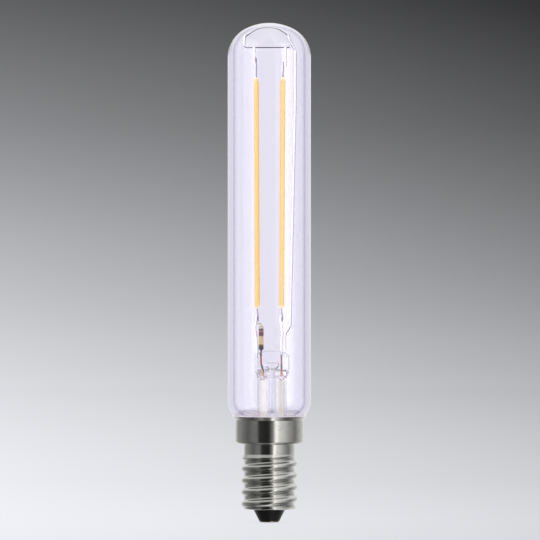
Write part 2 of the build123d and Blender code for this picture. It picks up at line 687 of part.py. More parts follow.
def trumpet():
    """Hollow over the exhaust tube, opening to the lamp through a hole in the back of the press."""
    mouth = Pos(0, 0, EXHAUST_TOP_Z) * Circle(EXHAUST_BORE_RADIUS)
    wide = Pos(0, 0, PRESS_Z + TRUMPET_WIDEST) * Ellipse(TRUMPET_HALF_WIDTH, TRUMPET_HALF_DEPTH)
    share = TRUMPET_TOP_SHARE
    top = Pos(0, 0, PRESS_Z + TRUMPET_TOP) * Ellipse(TRUMPET_HALF_WIDTH * share, TRUMPET_HALF_DEPTH * share)
    hole = Rot(90, 0, 0) * Cylinder(BLOW_HOLE_RADIUS, PRESS_DEPTH)
    hole = Pos(0, PRESS_DEPTH / 2, PRESS_Z + BLOW_HOLE_RISE) * hole
    return loft([mouth, wide]) + loft([wide, top]) + hole


def stem_glass(wires):
    half = STEM_WALL / 2
    middle = STEM_RADIUS - half
    reach = NECK_BORE + STEM_X + FLARE_LAP
    points = [(middle, PRESS_Z + STEM_TUBE_LAP), (middle, FLARE_BEND_Z), (reach, FLARE_END_Z)]
    tube = turned_sheet(points, FLARE_BEND_RADIUS, STEM_WALL)
    bore = turned_outline(
        (0, PRESS_Z),
        (STEM_BORE, PRESS_Z),
        (STEM_BORE, PRESS_Z + STEM_BORE_SHOULDER),
        (EXHAUST_RADIUS, PRESS_Z + STEM_BORE_TOP),
        (EXHAUST_RADIUS, EXHAUST_TOP_Z),
        (0, EXHAUST_TOP_Z),
    )
    stem = Pos(STEM_X, 0, 0) * (tube + (stem_press() - bore) - trumpet())
    stem = stem & disc(NECK_BORE, NECK_END_Z, PRESS_TOP_Z)
    for part in wires:
        stem = stem - part
    return stem


def exhaust_tube():
    tip = EXHAUST_TIP_Z + EXHAUST_RADIUS
    bore_tip = EXHAUST_TIP_Z + EXHAUST_TIP_GLASS + EXHAUST_BORE_RADIUS
    outside = disc(EXHAUST_RADIUS, tip, EXHAUST_TOP_Z)
    outside = outside + Pos(0, 0, tip) * Sphere(EXHAUST_RADIUS)
    bore = disc(EXHAUST_BORE_RADIUS, bore_tip, EXHAUST_TOP_Z)
    bore = bore + Pos(0, 0, bore_tip) * Sphere(EXHAUST_BORE_RADIUS)
    return Pos(STEM_X, 0, 0) * (outside - bore)


def driver_board():
    board = Box(2 * BOARD_HALF_WIDTH, BOARD_THICKNESS, BOARD_TOP_Z - BOARD_BOTTOM_Z)
    board = fillet(board.edges().filter_by(Axis.Y), BOARD_CORNER)
    return Pos(0, 0, (BOARD_TOP_Z + BOARD_BOTTOM_Z) / 2) * board


def board_liner():
    low, high = INSULATOR_TOP_Z, LINER_TOP_Z
    return disc(LINER_RADIUS, low, high) - disc(LINER_BORE, low, high)


def chip_leg(x, side, size, height):
    """One leg bent from the body down to the board: out, along the face, and out again."""
    face = BOARD_FACE
    body_edge = size[2] / 2
    knee = body_edge + LEG_REACH / 2
    lift = face + CHIP_STANDOFF + size[1] / 2
    reach = body_edge + LEG_REACH
    points = [
        (lift, body_edge),
        (lift, knee),
        (face, knee),
        (face, reach),
        (face + LEG_THICKNESS, reach),
        (face + LEG_THICKNESS, knee + LEG_THICKNESS),
        (lift + LEG_THICKNESS, knee + LEG_THICKNESS),
        (lift + LEG_THICKNESS, body_edge),
    ]
    outline = Polyline(*[(0, y, height + side * z) for y, z in points], close=True)
    leg = extrude(make_face(outline), LEG_WIDTH, dir=(1, 0, 0))
    return Pos(x - LEG_WIDTH / 2, 0, 0) * leg


def board_chip(size, height, pitch, legs):
    low = BOARD_FACE + CHIP_STANDOFF
    body = box_between(
        (-size[0] / 2, low, height - size[2] / 2),
        (size[0] / 2, low + size[1], height + size[2] / 2),
    )
    for side in (-1, 1):
        for index in range(legs):
            x = (index - (legs - 1) / 2) * pitch
            body = body + chip_leg(x, side, size, height)
    return body


def small_chips():
    width, depth, length = SMALL_CHIP_SIZE
    height = BOARD_BOTTOM_Z + SMALL_CHIP_RISE
    block = Pos(0, BOARD_FACE + depth / 2, height) * Box(width, depth, length)
    return Compound(children=[Pos(step * SMALL_CHIP_PITCH, 0, 0) * block for step in (-1, 0, 1)])


def smoothing_capacitor():
    can = disc(CAPACITOR_RADIUS, CAPACITOR_BOTTOM_Z, CAPACITOR_TOP_Z, 0, CAPACITOR_Y)
    can = fillet(can.edges().filter_by(GeomType.CIRCLE), CAPACITOR_ROUND)
    bend = CAPACITOR_TOP_Z + CAPACITOR_LEAD_RISE
    for x in (-CAPACITOR_LEAD_X, CAPACITOR_LEAD_X):
        points = [
            (x, CAPACITOR_Y, CAPACITOR_TOP_Z),
            (x, CAPACITOR_Y, bend),
            (x, -BOARD_FACE, bend),
        ]
        can = can + wire(points, FINE_WIRE_RADIUS)
    return can


def shell_wire():
    """Wire from the back of the board out to the shelf inside the shell."""
    x, y, top = SHELL_WIRE_X, SHELL_WIRE_Y, SHELL_WIRE_TOP_Z
    points = [(x, y, BOARD_TOP_Z - SHELL_WIRE_ON_BOARD), (x, y, top), (SHELL_WIRE_END_X, y, top)]
    return wire(points, FINE_WIRE_RADIUS)


def shell_solder():
    blob = Pos(SHELL_SOLDER_X, SHELL_WIRE_Y, SHELF_Z) * Sphere(SHELL_SOLDER_RADIUS)
    above = disc(COLLAR_RADIUS, SHELF_Z, COLLAR_TOP_Z)
    return (blob & above) - shell_wire()


def board_solder(leads):
    """The three mounds of solder that hold the leads and the shell wire to the board."""
    side, face, reach = BOARD_HALF_WIDTH, BOARD_FACE, COLLAR_RADIUS
    ball = Sphere(BOARD_SOLDER_RADIUS)
    front = box_between((-side, -reach, BOARD_BOTTOM_Z), (side, -face, BOARD_TOP_Z))
    back = box_between((-side, face, BOARD_BOTTOM_Z), (side, reach, BOARD_TOP_Z))
    height = BOARD_TOP_Z - BOARD_SOLDER_DROP
    mounds = [Pos(x, -face, height) * ball & front for x in (LEFT_SEAL_X, RIGHT_SEAL_X)]
    mounds.append(Pos(SHELL_WIRE_X, face, BOARD_TOP_Z - SHELL_WIRE_SOLDER_DROP) * ball & back)
    solids = []
    for mound in mounds:
        for lead in leads:
            mound = mound - lead
        solids.extend(mound.solids())
    return Compound(children=solids)


def build_parts():
    parts = {
        "glass_envelope": glass_envelope(),
        "cap_shell": cap_shell(),
        "insulator": insulator(),
        "centre_contact": centre_contact(),
        "contact_solder": contact_solder(),
        "basing_cement": basing_cement(),
        "exhaust_tube": exhaust_tube(),
        "support_wire": support_wire(),
        "left_hanger": hanger_wire(LEFT_HANGER_X, LEFT_HANGER_LENGTH),
        "right_hanger": hanger_wire(RIGHT_HANGER_X, RIGHT_HANGER_LENGTH),
        "left_post_wire": left_post_wire(),
        "right_lead_wire": right_lead_wire(),
        "series_resistor": series_resistor(),
        "left_seal_wire": seal_wire(LEFT_SEAL_X, RESISTOR_X),
        "right_seal_wire": seal_wire(RIGHT_SEAL_X, RIGHT_LEAD_FOOT_X),
        "left_copper_lead": copper_lead(LEFT_SEAL_X),
        "right_copper_lead": copper_lead(RIGHT_SEAL_X),
        "left_lead_sleeve": lead_sleeve(LEFT_SEAL_X),
        "right_lead_sleeve": lead_sleeve(RIGHT_SEAL_X),
        "left_top_pin": top_pin(LEFT_HANGER_X, LEFT_HANGER_LENGTH, LEFT_FILAMENT_X[0]),
        "right_top_pin": top_pin(RIGHT_HANGER_X, RIGHT_HANGER_LENGTH, RIGHT_FILAMENT_X[0]),
        "left_bottom_pin": bottom_pin(LEFT_POST_X, LEFT_FILAMENT_X[1]),
        "right_bottom_pin": bottom_pin(RIGHT_LEAD_X, RIGHT_FILAMENT_X[1]),
        "left_led_strip": led_strip(LEFT_FILAMENT_X),
        "right_led_strip": led_strip(RIGHT_FILAMENT_X),
        "left_led_chips": led_chips(LEFT_FILAMENT_X),
        "right_led_chips": led_chips(RIGHT_FILAMENT_X),
        "driver_board": driver_board(),
        "board_liner": board_liner(),
        "bridge_rectifier": board_chip(BRIDGE_SIZE, BOARD_TOP_Z - BRIDGE_BELOW_TOP, BRIDGE_PITCH, 2),
        "driver_chip": board_chip(DRIVER_SIZE, BOARD_BOTTOM_Z + DRIVER_RISE, DRIVER_PITCH, 4),
        "small_chips": small_chips(),
        "smoothing_capacitor": smoothing_capacitor(),
        "fuse_resistor": fuse_resistor(),
        "shell_wire": shell_wire(),
        "shell_solder": shell_solder(),
    }
    parts["left_filament"] = filament(LEFT_FILAMENT_X, [parts["left_top_pin"], parts["left_bottom_pin"]])
    parts["right_filament"] = filament(RIGHT_FILAMENT_X, [parts["right_top_pin"], parts["right_bottom_pin"]])
    sealed = (
        "support_wire",
        "left_post_wire",
        "right_lead_wire",
        "series_resistor",
        "left_seal_wire",
        "right_seal_wire",
        "left_copper_lead",
        "right_copper_lead",
    )
    parts["stem_glass"] = stem_glass([parts[name] for name in sealed])
    leads = ("left_copper_lead", "right_copper_lead", "shell_wire")
    parts["board_solder"] = board_solder([parts[name] for name in leads])
    return parts


def main():
    os.makedirs("parts", exist_ok=True)
    for name, shape in build_parts().items():
        export_step(shape, f"parts/{name}.step")


main()
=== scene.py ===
import logging
import math
from collections.abc import Iterable, Sequence
from dataclasses import dataclass
from enum import Enum

import bpy
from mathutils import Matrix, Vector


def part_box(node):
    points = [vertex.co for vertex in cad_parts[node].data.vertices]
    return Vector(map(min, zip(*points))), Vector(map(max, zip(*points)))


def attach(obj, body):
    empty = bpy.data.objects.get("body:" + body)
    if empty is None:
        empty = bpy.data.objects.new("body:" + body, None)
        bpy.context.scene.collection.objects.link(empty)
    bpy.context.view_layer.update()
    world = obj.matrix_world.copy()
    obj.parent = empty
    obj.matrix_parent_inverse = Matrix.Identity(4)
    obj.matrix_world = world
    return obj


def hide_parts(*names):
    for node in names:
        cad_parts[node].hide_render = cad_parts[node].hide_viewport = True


# Lengths are millimetres until a mesh is made; Blender's own lengths are metres.
# Heights and radii are in the lamp's frame: +Z runs from the centre contact to the dome.

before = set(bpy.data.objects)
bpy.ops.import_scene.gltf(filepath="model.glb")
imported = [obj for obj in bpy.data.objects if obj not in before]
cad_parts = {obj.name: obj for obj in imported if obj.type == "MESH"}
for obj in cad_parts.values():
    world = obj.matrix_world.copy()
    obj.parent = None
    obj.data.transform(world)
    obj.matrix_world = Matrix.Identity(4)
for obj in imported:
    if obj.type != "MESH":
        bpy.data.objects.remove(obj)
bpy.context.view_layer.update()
LOG = logging.getLogger("filament_lamp")

MM = 0.001
WHITE = (1.0, 1.0, 1.0)
BLACK = (0.0, 0.0, 0.0)
EVEN = (1.0, 1.0, 1.0)

Colour = tuple[float, float, float]
Point = tuple[float, float, float]
ProfilePoint = tuple[float, float]
Span = tuple[float, float]
Levels = Sequence[tuple[float, float]]
ColourStops = Sequence[tuple[float, Colour]]
Socket = bpy.types.NodeSocket
Inputs = dict[str | int, object]


class Slot(Enum):
    """The material slots."""

    CLEAR_GLASS = "clear_glass"
    STEM_GLASS = "stem_glass"
    CAP_NICKEL = "cap_nickel"
    NICKEL_WIRE = "nickel_wire"
    PIN_STEEL = "pin_steel"
    PHOSPHOR = "phosphor"
    WHITE_CERAMIC = "white_ceramic"
    LED_DIE = "led_die"
    SEAL_WIRE = "seal_wire"
    COPPER = "copper"
    LEAD_SLEEVE = "lead_sleeve"
    RESISTOR_BODY = "resistor_body"
    INSULATOR_BLACK = "insulator_black"
    CONTACT_METAL = "contact_metal"
    SOLDER = "solder"
    CEMENT = "cement"
    BOARD_GREEN = "board_green"
    LINER_FILM = "liner_film"
    CHIP_BLACK = "chip_black"
    CHIP_RESISTOR = "chip_resistor"
    CAPACITOR_SLEEVE = "capacitor_sleeve"
    FUSE_BODY = "fuse_body"


class Axis(Enum):
    """An axis of the lamp's frame, as the index of its coordinate."""

    X = 0
    Y = 1
    Z = 2


class Between(Enum):
    """How a row of colour stops runs from one stop to the next."""

    STRAIGHT = "LINEAR"
    EASED = "EASE"
    STEPPED = "CONSTANT"


class Side(Enum):
    """The half of the sky over the horizon or the half under it."""

    ABOVE = 1.0
    BELOW = -1.0


def smooth_step(value: float, low: float, high: float) -> float:
    """Ease from 0 at low to 1 at high.

    Args:
        value: Where to read the curve.
        low: Value at which it leaves 0.
        high: Value at which it reaches 1.

    Returns:
        A number from 0 to 1.
    """
    share = min(max((value - low) / (high - low), 0.0), 1.0)
    return share * share * (3.0 - 2.0 * share)


def soft_min(first: float, second: float, blend: float) -> float:
    """The smaller of two numbers, with the corner between them rounded.

    Args:
        first: One number.
        second: The other number.
        blend: How far from equal the rounding reaches.

    Returns:
        The rounded minimum.
    """
    gap = max(blend - abs(first - second), 0.0) / blend
    return min(first, second) - gap * gap * blend / 4.0


def arc(
    centre: ProfilePoint, radius: float, start: float, end: float, steps: int
) -> list[ProfilePoint]:
    """Points along an arc in the plane of radius and height.

    Args:
        centre: The arc's centre.
        radius: The arc's radius.
        start: Angle of the first point, in degrees.
        end: Angle of the last point, in degrees.
        steps: Number of spans.

    Returns:
        The points, both ends included.
    """
    points = []
    for step in range(steps + 1):
        angle = math.radians(start + (end - start) * step / steps)
        x = centre[0] + radius * math.cos(angle)
        points.append((x, centre[1] + radius * math.sin(angle)))
    return points


def round_corners(
    points: Sequence[ProfilePoint], radii: Sequence[float], steps: int
) -> list[ProfilePoint]:
    """A line through the points with each inner corner turned into an arc.

    Args:
        points: The line's points.
        radii: One radius for each inner point.
        steps: Spans in each arc.

    Returns:
        The points of the rounded line.
    """
    line = [points[0]]
    for before, corner, after, radius in zip(points, points[1:], points[2:], radii):
        to_before = (before[0] - corner[0], before[1] - corner[1])
        to_after = (after[0] - corner[0], after[1] - corner[1])
        length_before, length_after = math.hypot(*to_before), math.hypot(*to_after)
        unit_before = (to_before[0] / length_before, to_before[1] / length_before)
        unit_after = (to_after[0] / length_after, to_after[1] / length_after)
        half = math.acos(unit_before[0] * unit_after[0] + unit_before[1] * unit_after[1]) / 2.0
        reach = radius / math.tan(half)
        bisector = (unit_before[0] + unit_after[0], unit_before[1] + unit_after[1])
        scale = radius / math.sin(half) / math.hypot(*bisector)
        centre = (corner[0] + bisector[0] * scale, corner[1] + bisector[1] * scale)
        first = (corner[0] + unit_before[0] * reach, corner[1] + unit_before[1] * reach)
        last = (corner[0] + unit_after[0] * reach, corner[1] + unit_after[1] * reach)
        start = math.atan2(first[1] - centre[1], first[0] - centre[0])
        turn = math.atan2(last[1] - centre[1], last[0] - centre[0]) - start
        turn = (turn + math.pi) % (2.0 * math.pi) - math.pi
        line.extend(arc(centre, radius, math.degrees(start), math.degrees(start + turn), steps))
    line.append(points[-1])
    return line


def subdivided(points: Sequence[ProfilePoint], longest: float) -> list[ProfilePoint]:
    """The same line with points added so that no span is longer than a limit.

    Args:
        points: The line's points.
        longest: The longest span allowed.

    Returns:
        The points of the finer line.
    """
    line = [points[0]]
    for start, end in zip(points, points[1:]):
        spans = max(1, math.ceil(math.dist(start, end) / longest))
        for step in range(1, spans + 1):
            share = step / spans
            x = start[0] + (end[0] - start[0]) * share
            line.append((x, start[1] + (end[1] - start[1]) * share))
    return line


def offset_line(points: Sequence[ProfilePoint], distance: float) -> list[ProfilePoint]:
    """The line moved sideways, to the right of its own direction for a positive distance.

    Args:
        points: The line's points.
        distance: How far to move it.

    Returns:
        The moved points, one for each point given.
    """
    moved = []
    last = len(points) - 1
    for index, point in enumerate(points):
        before, after = points[max(index - 1, 0)], points[min(index + 1, last)]
        along = (after[0] - before[0], after[1] - before[1])
        length = math.hypot(*along)
        x = point[0] + along[1] / length * distance
        moved.append((x, point[1] - along[0] / length * distance))
    return moved


def ring(radius: float, height: float, segments: int) -> list[Point]:
    """A level circle of points about the lamp's axis, or the one point on the axis.

    Args:
        radius: The circle's radius.
        height: The circle's height.
        segments: Number of points.

    Returns:
        The points.
    """
    if radius == 0.0:
        return [(0.0, 0.0, height)]
    turns = [2.0 * math.pi * index / segments for index in range(segments)]
    return [(radius * math.cos(turn), radius * math.sin(turn), height) for turn in turns]


def skin(
    name: str, surfaces: Iterable[Sequence[Sequence[Point]]], crease: float
) -> bpy.types.Object:
    """One mesh object from surfaces, each a row of rings joined ring to ring.

    Args:
        name: Name of the new piece.
        surfaces: The surfaces; a ring with one point closes its end of the row.
        crease: Angle in degrees above which an edge is shaded sharp.

    Returns:
        The new object, linked to the scene.
    """
    verts: list[Point] = []
    faces: list[tuple[int, ...]] = []
    for rings in surfaces:
        starts = []
        for points in rings:
            starts.append(len(verts))
            verts.extend((x * MM, y * MM, z * MM) for x, y, z in points)
        counts = [len(points) for points in rings]
        for index in range(len(rings) - 1):
            after = index + 1
            faces.extend(band(starts[index], counts[index], starts[after], counts[after]))
    mesh = bpy.data.meshes.new(name)
    mesh.from_pydata(verts, [], faces)
    mesh.validate()
    mesh.update()
    mesh.shade_smooth()
    mesh.set_sharp_from_angle(angle=math.radians(crease))
    piece = bpy.data.objects.new(name, mesh)
    bpy.context.scene.collection.objects.link(piece)
    return piece


def mark_vertices(piece: bpy.types.Object, mark: str, first: int, end: int) -> None:
    """Mark a run of a piece's vertices, so that its finish can tell them from the rest.

    Args:
        piece: The piece.
        mark: The mark's name.
        first: Index of the first marked vertex.
        end: Index after the last one.
    """
    data = piece.data.attributes.new(mark, "FLOAT", "POINT").data
    marks = [float(first <= index < end) for index in range(len(data))]
    data.foreach_set("value", marks)


def band(
    first: int, first_count: int, second: int, second_count: int
) -> list[tuple[int, ...]]:
    """Faces between two rings, either of which may be one point.

    The faces look outward where the rings run down.

    Args:
        first: Index of the first ring's first vertex.
        first_count: Number of points in the first ring.
        second: Index of the second ring's first vertex.
        second_count: Number of points in the second ring.

    Returns:
        The faces as vertex indices.
    """
    faces: list[tuple[int, ...]] = []
    count = max(first_count, second_count)
    for index in range(count):
        after = (index + 1) % count
        corners = [first + (index if first_count > 1 else 0)]
        if first_count > 1:
            corners.append(first + after)
        if second_count > 1:
            corners.append(second + after)
        corners.append(second + (index if second_count > 1 else 0))
        faces.append(tuple(reversed(corners)))
    return faces


class NodeSheet:
    """A node tree while it is being put together."""

    def __init__(self, tree: bpy.types.NodeTree) -> None:
        """Start from the nodes that the tree already has.

        Args:
            tree: The tree.
        """
        self.nodes = tree.nodes
        self.links = tree.links

    def add(self, kind: str, inputs: Inputs | None = None, **settings: object) -> bpy.types.Node:
        """Add a node and set it up.

        Args:
            kind: Blender's name for the node, without ShaderNode.
            inputs: Values or outputs for the node's inputs.
            settings: Attributes of the node itself.

        Returns:
            The new node.
        """
        node = self.nodes.new(f"ShaderNode{kind}")
        for name, value in settings.items():
            setattr(node, name, value)
        for key, value in (inputs or {}).items():
            self.plug(value, node.inputs[key])
        return node

    def plug(self, value: object, socket: Socket) -> None:
        """Feed an input with a value or with another node's output.

        Args:
            value: The value or the output.
            socket: The input.
        """
        if isinstance(value, Socket):
            self.links.new(value, socket)
        else:
            socket.default_value = value

    def maths(self, operation: str, first: object, second: object = 0.0) -> Socket:
        """Work out a number from one or two others.

        Args:
            operation: Blender's name for the sum.
            first: A number or an output.
            second: Another, where the sum has one.

        Returns:
            The result.
        """
        return self.add("Math", {0: first, 1: second}, operation=operation).outputs[0]

    def part(self, vector: Socket, axis: Axis) -> Socket:
        """One coordinate of a vector.

        Args:
            vector: The vector.
            axis: Which coordinate.

        Returns:
            The coordinate.
        """
        return self.add("SeparateXYZ", {"Vector": vector}).outputs[axis.name]

    def span(self, value: Socket, start: float, end: float) -> Socket:
        """How far a number is from one value to another.

        Args:
            value: The number.
            start: Where it gives 0.
            end: Where it gives 1.

        Returns:
            A number from 0 to 1.
        """
        inputs = {"Value": value, "From Min": start, "From Max": end}
        return self.add("MapRange", inputs).outputs["Result"]

    def mix(self, share: Socket, first: object, second: object) -> Socket:
        """Mix two colours.

        Args:
            share: How much of the second colour.
            first: A colour or an output.
            second: Another.

        Returns:
            The mixed colour.
        """
        node = self.add("Mix", {"Factor": share}, data_type="RGBA")
        colours = [socket for socket in node.inputs if socket.type == "RGBA"]
        for socket, value in zip(colours, (first, second)):
            self.plug(value if isinstance(value, Socket) else (*value, 1.0), socket)
        return next(socket for socket in node.outputs if socket.type == "RGBA")

    def ramp(
        self, value: Socket, stops: ColourStops, between: Between = Between.STRAIGHT
    ) -> Socket:
        """Read a colour from a row of stops.

        Args:
            value: Where along the row to read, from 0 to 1.
            stops: Positions and their colours, in order.
            between: How the colours run between stops.

        Returns:
            The colour.
        """
        node = self.add("ValToRGB", {"Fac": value})
        row = node.color_ramp
        row.interpolation = between.value
        while len(row.elements) < len(stops):
            row.elements.new(1.0)
        for element, (position, colour) in zip(row.elements, stops):
            element.position = position
            element.color = (*colour, 1.0)
        return node.outputs["Color"]


class Recipe(NodeSheet):
    """A material's node tree while it is being put together."""

    def __init__(self, name: str) -> None:
        """Start an empty material with a principled surface.

        Args:
            name: Name of the material.
        """
        self.material = bpy.data.materials.new(name)
        self.material.use_nodes = True
        super().__init__(self.material.node_tree)
        self.surface = self.nodes["Principled BSDF"]
        coordinates = self.add("TexCoord").outputs
        self.place, self.normal = coordinates["Object"], coordinates["Normal"]

    def noise(self, scale: float, octaves: float, stretch: Point = EVEN) -> Socket:
        """Cloudy noise over the piece.

        Args:
            scale: Features per metre.
            octaves: Octaves of finer noise.
            stretch: Factor for each axis.

        Returns:
            The noise as a number from 0 to 1.
        """
        place = self.add("Mapping", {"Vector": self.place, "Scale": stretch}).outputs["Vector"]
        inputs = {"Vector": place, "Scale": scale, "Detail": octaves}
        return self.add("TexNoise", inputs).outputs["Fac"]

    def ranged(self, value: Socket, low: float, high: float) -> Socket:
        """A number from 0 to 1 moved to another range.

        Args:
            value: The number.
            low: What 0 becomes.
            high: What 1 becomes.

        Returns:
            The moved number.
        """
        inputs = {"Value": value, "To Min": low, "To Max": high}
        return self.add("MapRange", inputs).outputs["Result"]

    def from_axis(self) -> Socket:
        """How far each point is from the lamp's axis.

        Returns:
            The distance in metres.
        """
        parts = {axis.name: self.part(self.place, axis) for axis in (Axis.X, Axis.Y)}
        level = self.add("CombineXYZ", parts).outputs["Vector"]
        return self.add("VectorMath", {0: level}, operation="LENGTH").outputs["Value"]

    def marked(self, mark: str) -> Socket:
        """Where a piece carries a mark.

        Args:
            mark: The mark's name.

        Returns:
            1 on the marked surface and 0 elsewhere.
        """
        return self.add("Attribute", attribute_name=mark).outputs["Fac"]

    def relief(self, height: Socket, strength: float, depth: float) -> None:
        """Raise the surface by a pattern.

        Args:
            height: The pattern.
            strength: How much of it is felt.
            depth: Millimetres between its low and high points.
        """
        inputs = {"Height": height, "Strength": strength, "Distance": depth * MM}
        self.plug(self.add("Bump", inputs).outputs["Normal"], self.surface.inputs["Normal"])

    def set(self, **values: object) -> None:
        """Set the surface's inputs.

        Args:
            values: Input names with _ for each space, and their values or outputs.
        """
        for name, value in values.items():
            self.plug(value, self.surface.inputs[name.replace("_", " ")])


@dataclass(frozen=True)
class Finish:
    """A finish mottled between two tones, with its own gloss and grain."""

    slot: Slot
    tone: Colour
    mottle: Colour
    roughness: Span = (0.4, 0.55)
    metallic: float = 0.0
    grain: float = 3000.0
    stretch: Point = EVEN
    strength: float = 0.15
    depth: float = 0.03
    coat: float = 0.0
    subsurface: float = 0.0
    subsurface_reach: float = 0.3
    # Painted light: glow makes a part that is no lamp give off light in its own colour.
    glow: float = 0.0
    gloss: float = 0.5
    octaves: float = 4.0
    edge: Colour = WHITE
    # Painted shade: the colour darkens where the surface faces down.
    underside_shade: Colour | None = None
    underside_shade_slope: Span = (0.05, -0.45)

    def material(self) -> bpy.types.Material:
        """Build the finish.

        Returns:
            The new material.
        """
        recipe = Recipe(self.slot.value)
        grain = recipe.noise(self.grain, self.octaves, self.stretch)
        colour = recipe.mix(grain, self.tone, self.mottle)
        # Painted shade: the colour darkens toward the shade tone as the normal points down.
        if self.underside_shade:
            shaded_below = recipe.span(recipe.part(recipe.normal, Axis.Z), *self.underside_shade_slope)
            colour = recipe.mix(shaded_below, colour, self.underside_shade)
        recipe.set(
            Base_Color=colour,
            # Painted light: emission in the part's own colour.
            Emission_Color=colour,
            Emission_Strength=self.glow,
            Specular_IOR_Level=self.gloss,
            Specular_Tint=(*self.edge, 1.0),
            Roughness=recipe.ranged(grain, *self.roughness),
            Metallic=self.metallic,
            Coat_Weight=self.coat,
            Subsurface_Weight=self.subsurface,
            Subsurface_Scale=self.subsurface_reach * MM,
        )
        recipe.relief(grain, self.strength, self.depth)
        return recipe.material


@dataclass(frozen=True)
class ClearGlass:
    """Drawn glass: faint streaks along the tube and a trace of colour."""

    slot: Slot
    tone: Colour
    streak_tone: Colour
    ior: float = 1.5
    roughness: Span = (0.0, 0.012)
    streaks: float = 260.0
    streak_length: float = 0.04
    octaves: float = 2.0
    strength: float = 0.12
    depth: float = 0.02
    body_tint: Colour = (0.05, 0.0, 0.43)
    tint_density: float = 0.0
    # Painted shade: a dark tone laid on the glass where it is seen at a graze.
    edge: Colour = BLACK
    edge_shade_blend: float = 0.5
    edge_shade_span: Span = (0.55, 0.80)
    edge_shade_mark: str = ""

    def edge_shade_share(self, recipe: Recipe) -> Socket:
        """How much of the painted dark edge tone shows: most where the glass is seen at a graze.

        Args:
            recipe: The glass's recipe.

        Returns:
            A number from 0 to 1, kept to the marked surface where there is a mark.
        """
        grazing = recipe.add("LayerWeight", {"Blend": self.edge_shade_blend}).outputs["Facing"]
        share = recipe.span(grazing, *self.edge_shade_span)
        if self.edge_shade_mark:
            return recipe.maths("MULTIPLY", share, recipe.marked(self.edge_shade_mark))
        return share

    def material(self) -> bpy.types.Material:
        """Build the glass.

        Returns:
            The new material.
        """
        recipe = Recipe(self.slot.value)
        streak = recipe.noise(self.streaks, self.octaves, (1.0, 1.0, self.streak_length))
        colour = recipe.mix(streak, self.tone, self.streak_tone)
        recipe.set(
            # Painted shade: the glass darkens toward the edge tone at a graze.
            Base_Color=recipe.mix(self.edge_shade_share(recipe), colour, self.edge),
            Roughness=recipe.ranged(streak, *self.roughness),
            Transmission_Weight=1.0,
            IOR=self.ior,
        )
        recipe.relief(streak, self.strength, self.depth)
        if self.tint_density:
            inputs = {"Color": (*self.body_tint, 1.0), "Density": self.tint_density}
            body = recipe.add("VolumeAbsorption", inputs).outputs["Volume"]
            recipe.plug(body, recipe.nodes["Material Output"].inputs["Volume"])
        return recipe.material


@dataclass(frozen=True)
class PlatedCap:
    """Bright nickel plate: spun lines, tarnish, darker thread roots, and a cement-pale inside that
    glows as painted light.
    """

    slot: Slot = Slot.CAP_NICKEL
    bright: Colour = (0.76, 0.75, 0.72)
    dull: Colour = (0.56, 0.56, 0.53)
    tarnish_scale: float = 700.0
    tarnish_octaves: float = 5.0
    roughness: Span = (0.10, 0.22)
    root: Colour = (0.50, 0.50, 0.47)
    root_radius: float = 6.1
    crest_radius: float = 6.6
    thread_top: float = 16.6
    root_darkening_fade: float = 1.0
    root_darkening_share: float = 0.6
    line_scale: float = 260.0
    line_octaves: float = 3.0
    line_stretch: Point = (1.0, 1.0, 40.0)
    line_strength: float = 0.10
    line_depth: float = 0.01
    lining_mark: str = "painted_light_lining"
    # Painted light: the inside of the shell is pale and glows, so the glass foot shows light there.
    painted_light_lining: Colour = (0.93, 0.88, 0.90)
    lining_glow: float = 0.45

    def root_darkening(self, recipe: Recipe) -> Socket:
        """How much darker each point is: most in the thread's roots, nothing on the neck and
        collar.

        Args:
            recipe: The plate's recipe.

        Returns:
            The share of the darker root tone.
        """
        in_root = recipe.span(recipe.from_axis(), self.crest_radius * MM, self.root_radius * MM)
        height = recipe.part(recipe.place, Axis.Z)
        full_below = self.thread_top - self.root_darkening_fade
        below_neck = recipe.span(height, self.thread_top * MM, full_below * MM)
        in_thread = recipe.maths("MULTIPLY", in_root, below_neck)
        return recipe.maths("MULTIPLY", in_thread, self.root_darkening_share)

    def material(self) -> bpy.types.Material:
        """Build the plate.

        Returns:
            The new material.
        """
        recipe = Recipe(self.slot.value)
        tarnish = recipe.noise(self.tarnish_scale, self.tarnish_octaves)
        lines = recipe.noise(self.line_scale, self.line_octaves, self.line_stretch)
        clean = recipe.mix(tarnish, self.bright, self.dull)
        # Darker toward the root tone in the thread's roots.
        plate = recipe.mix(self.root_darkening(recipe), clean, self.root)
        # Painted light: the marked inside is pale, not metal, and glows.
        lined = recipe.marked(self.lining_mark)
        recipe.set(
            Base_Color=recipe.mix(lined, plate, self.painted_light_lining),
            Roughness=recipe.ranged(tarnish, *self.roughness),
            Metallic=recipe.ranged(lined, 1.0, 0.0),
            Emission_Color=(*self.painted_light_lining, 1.0),
            Emission_Strength=recipe.ranged(lined, 0.0, self.lining_glow),
        )
        recipe.relief(lines, self.line_strength, self.line_depth)
        return recipe.material


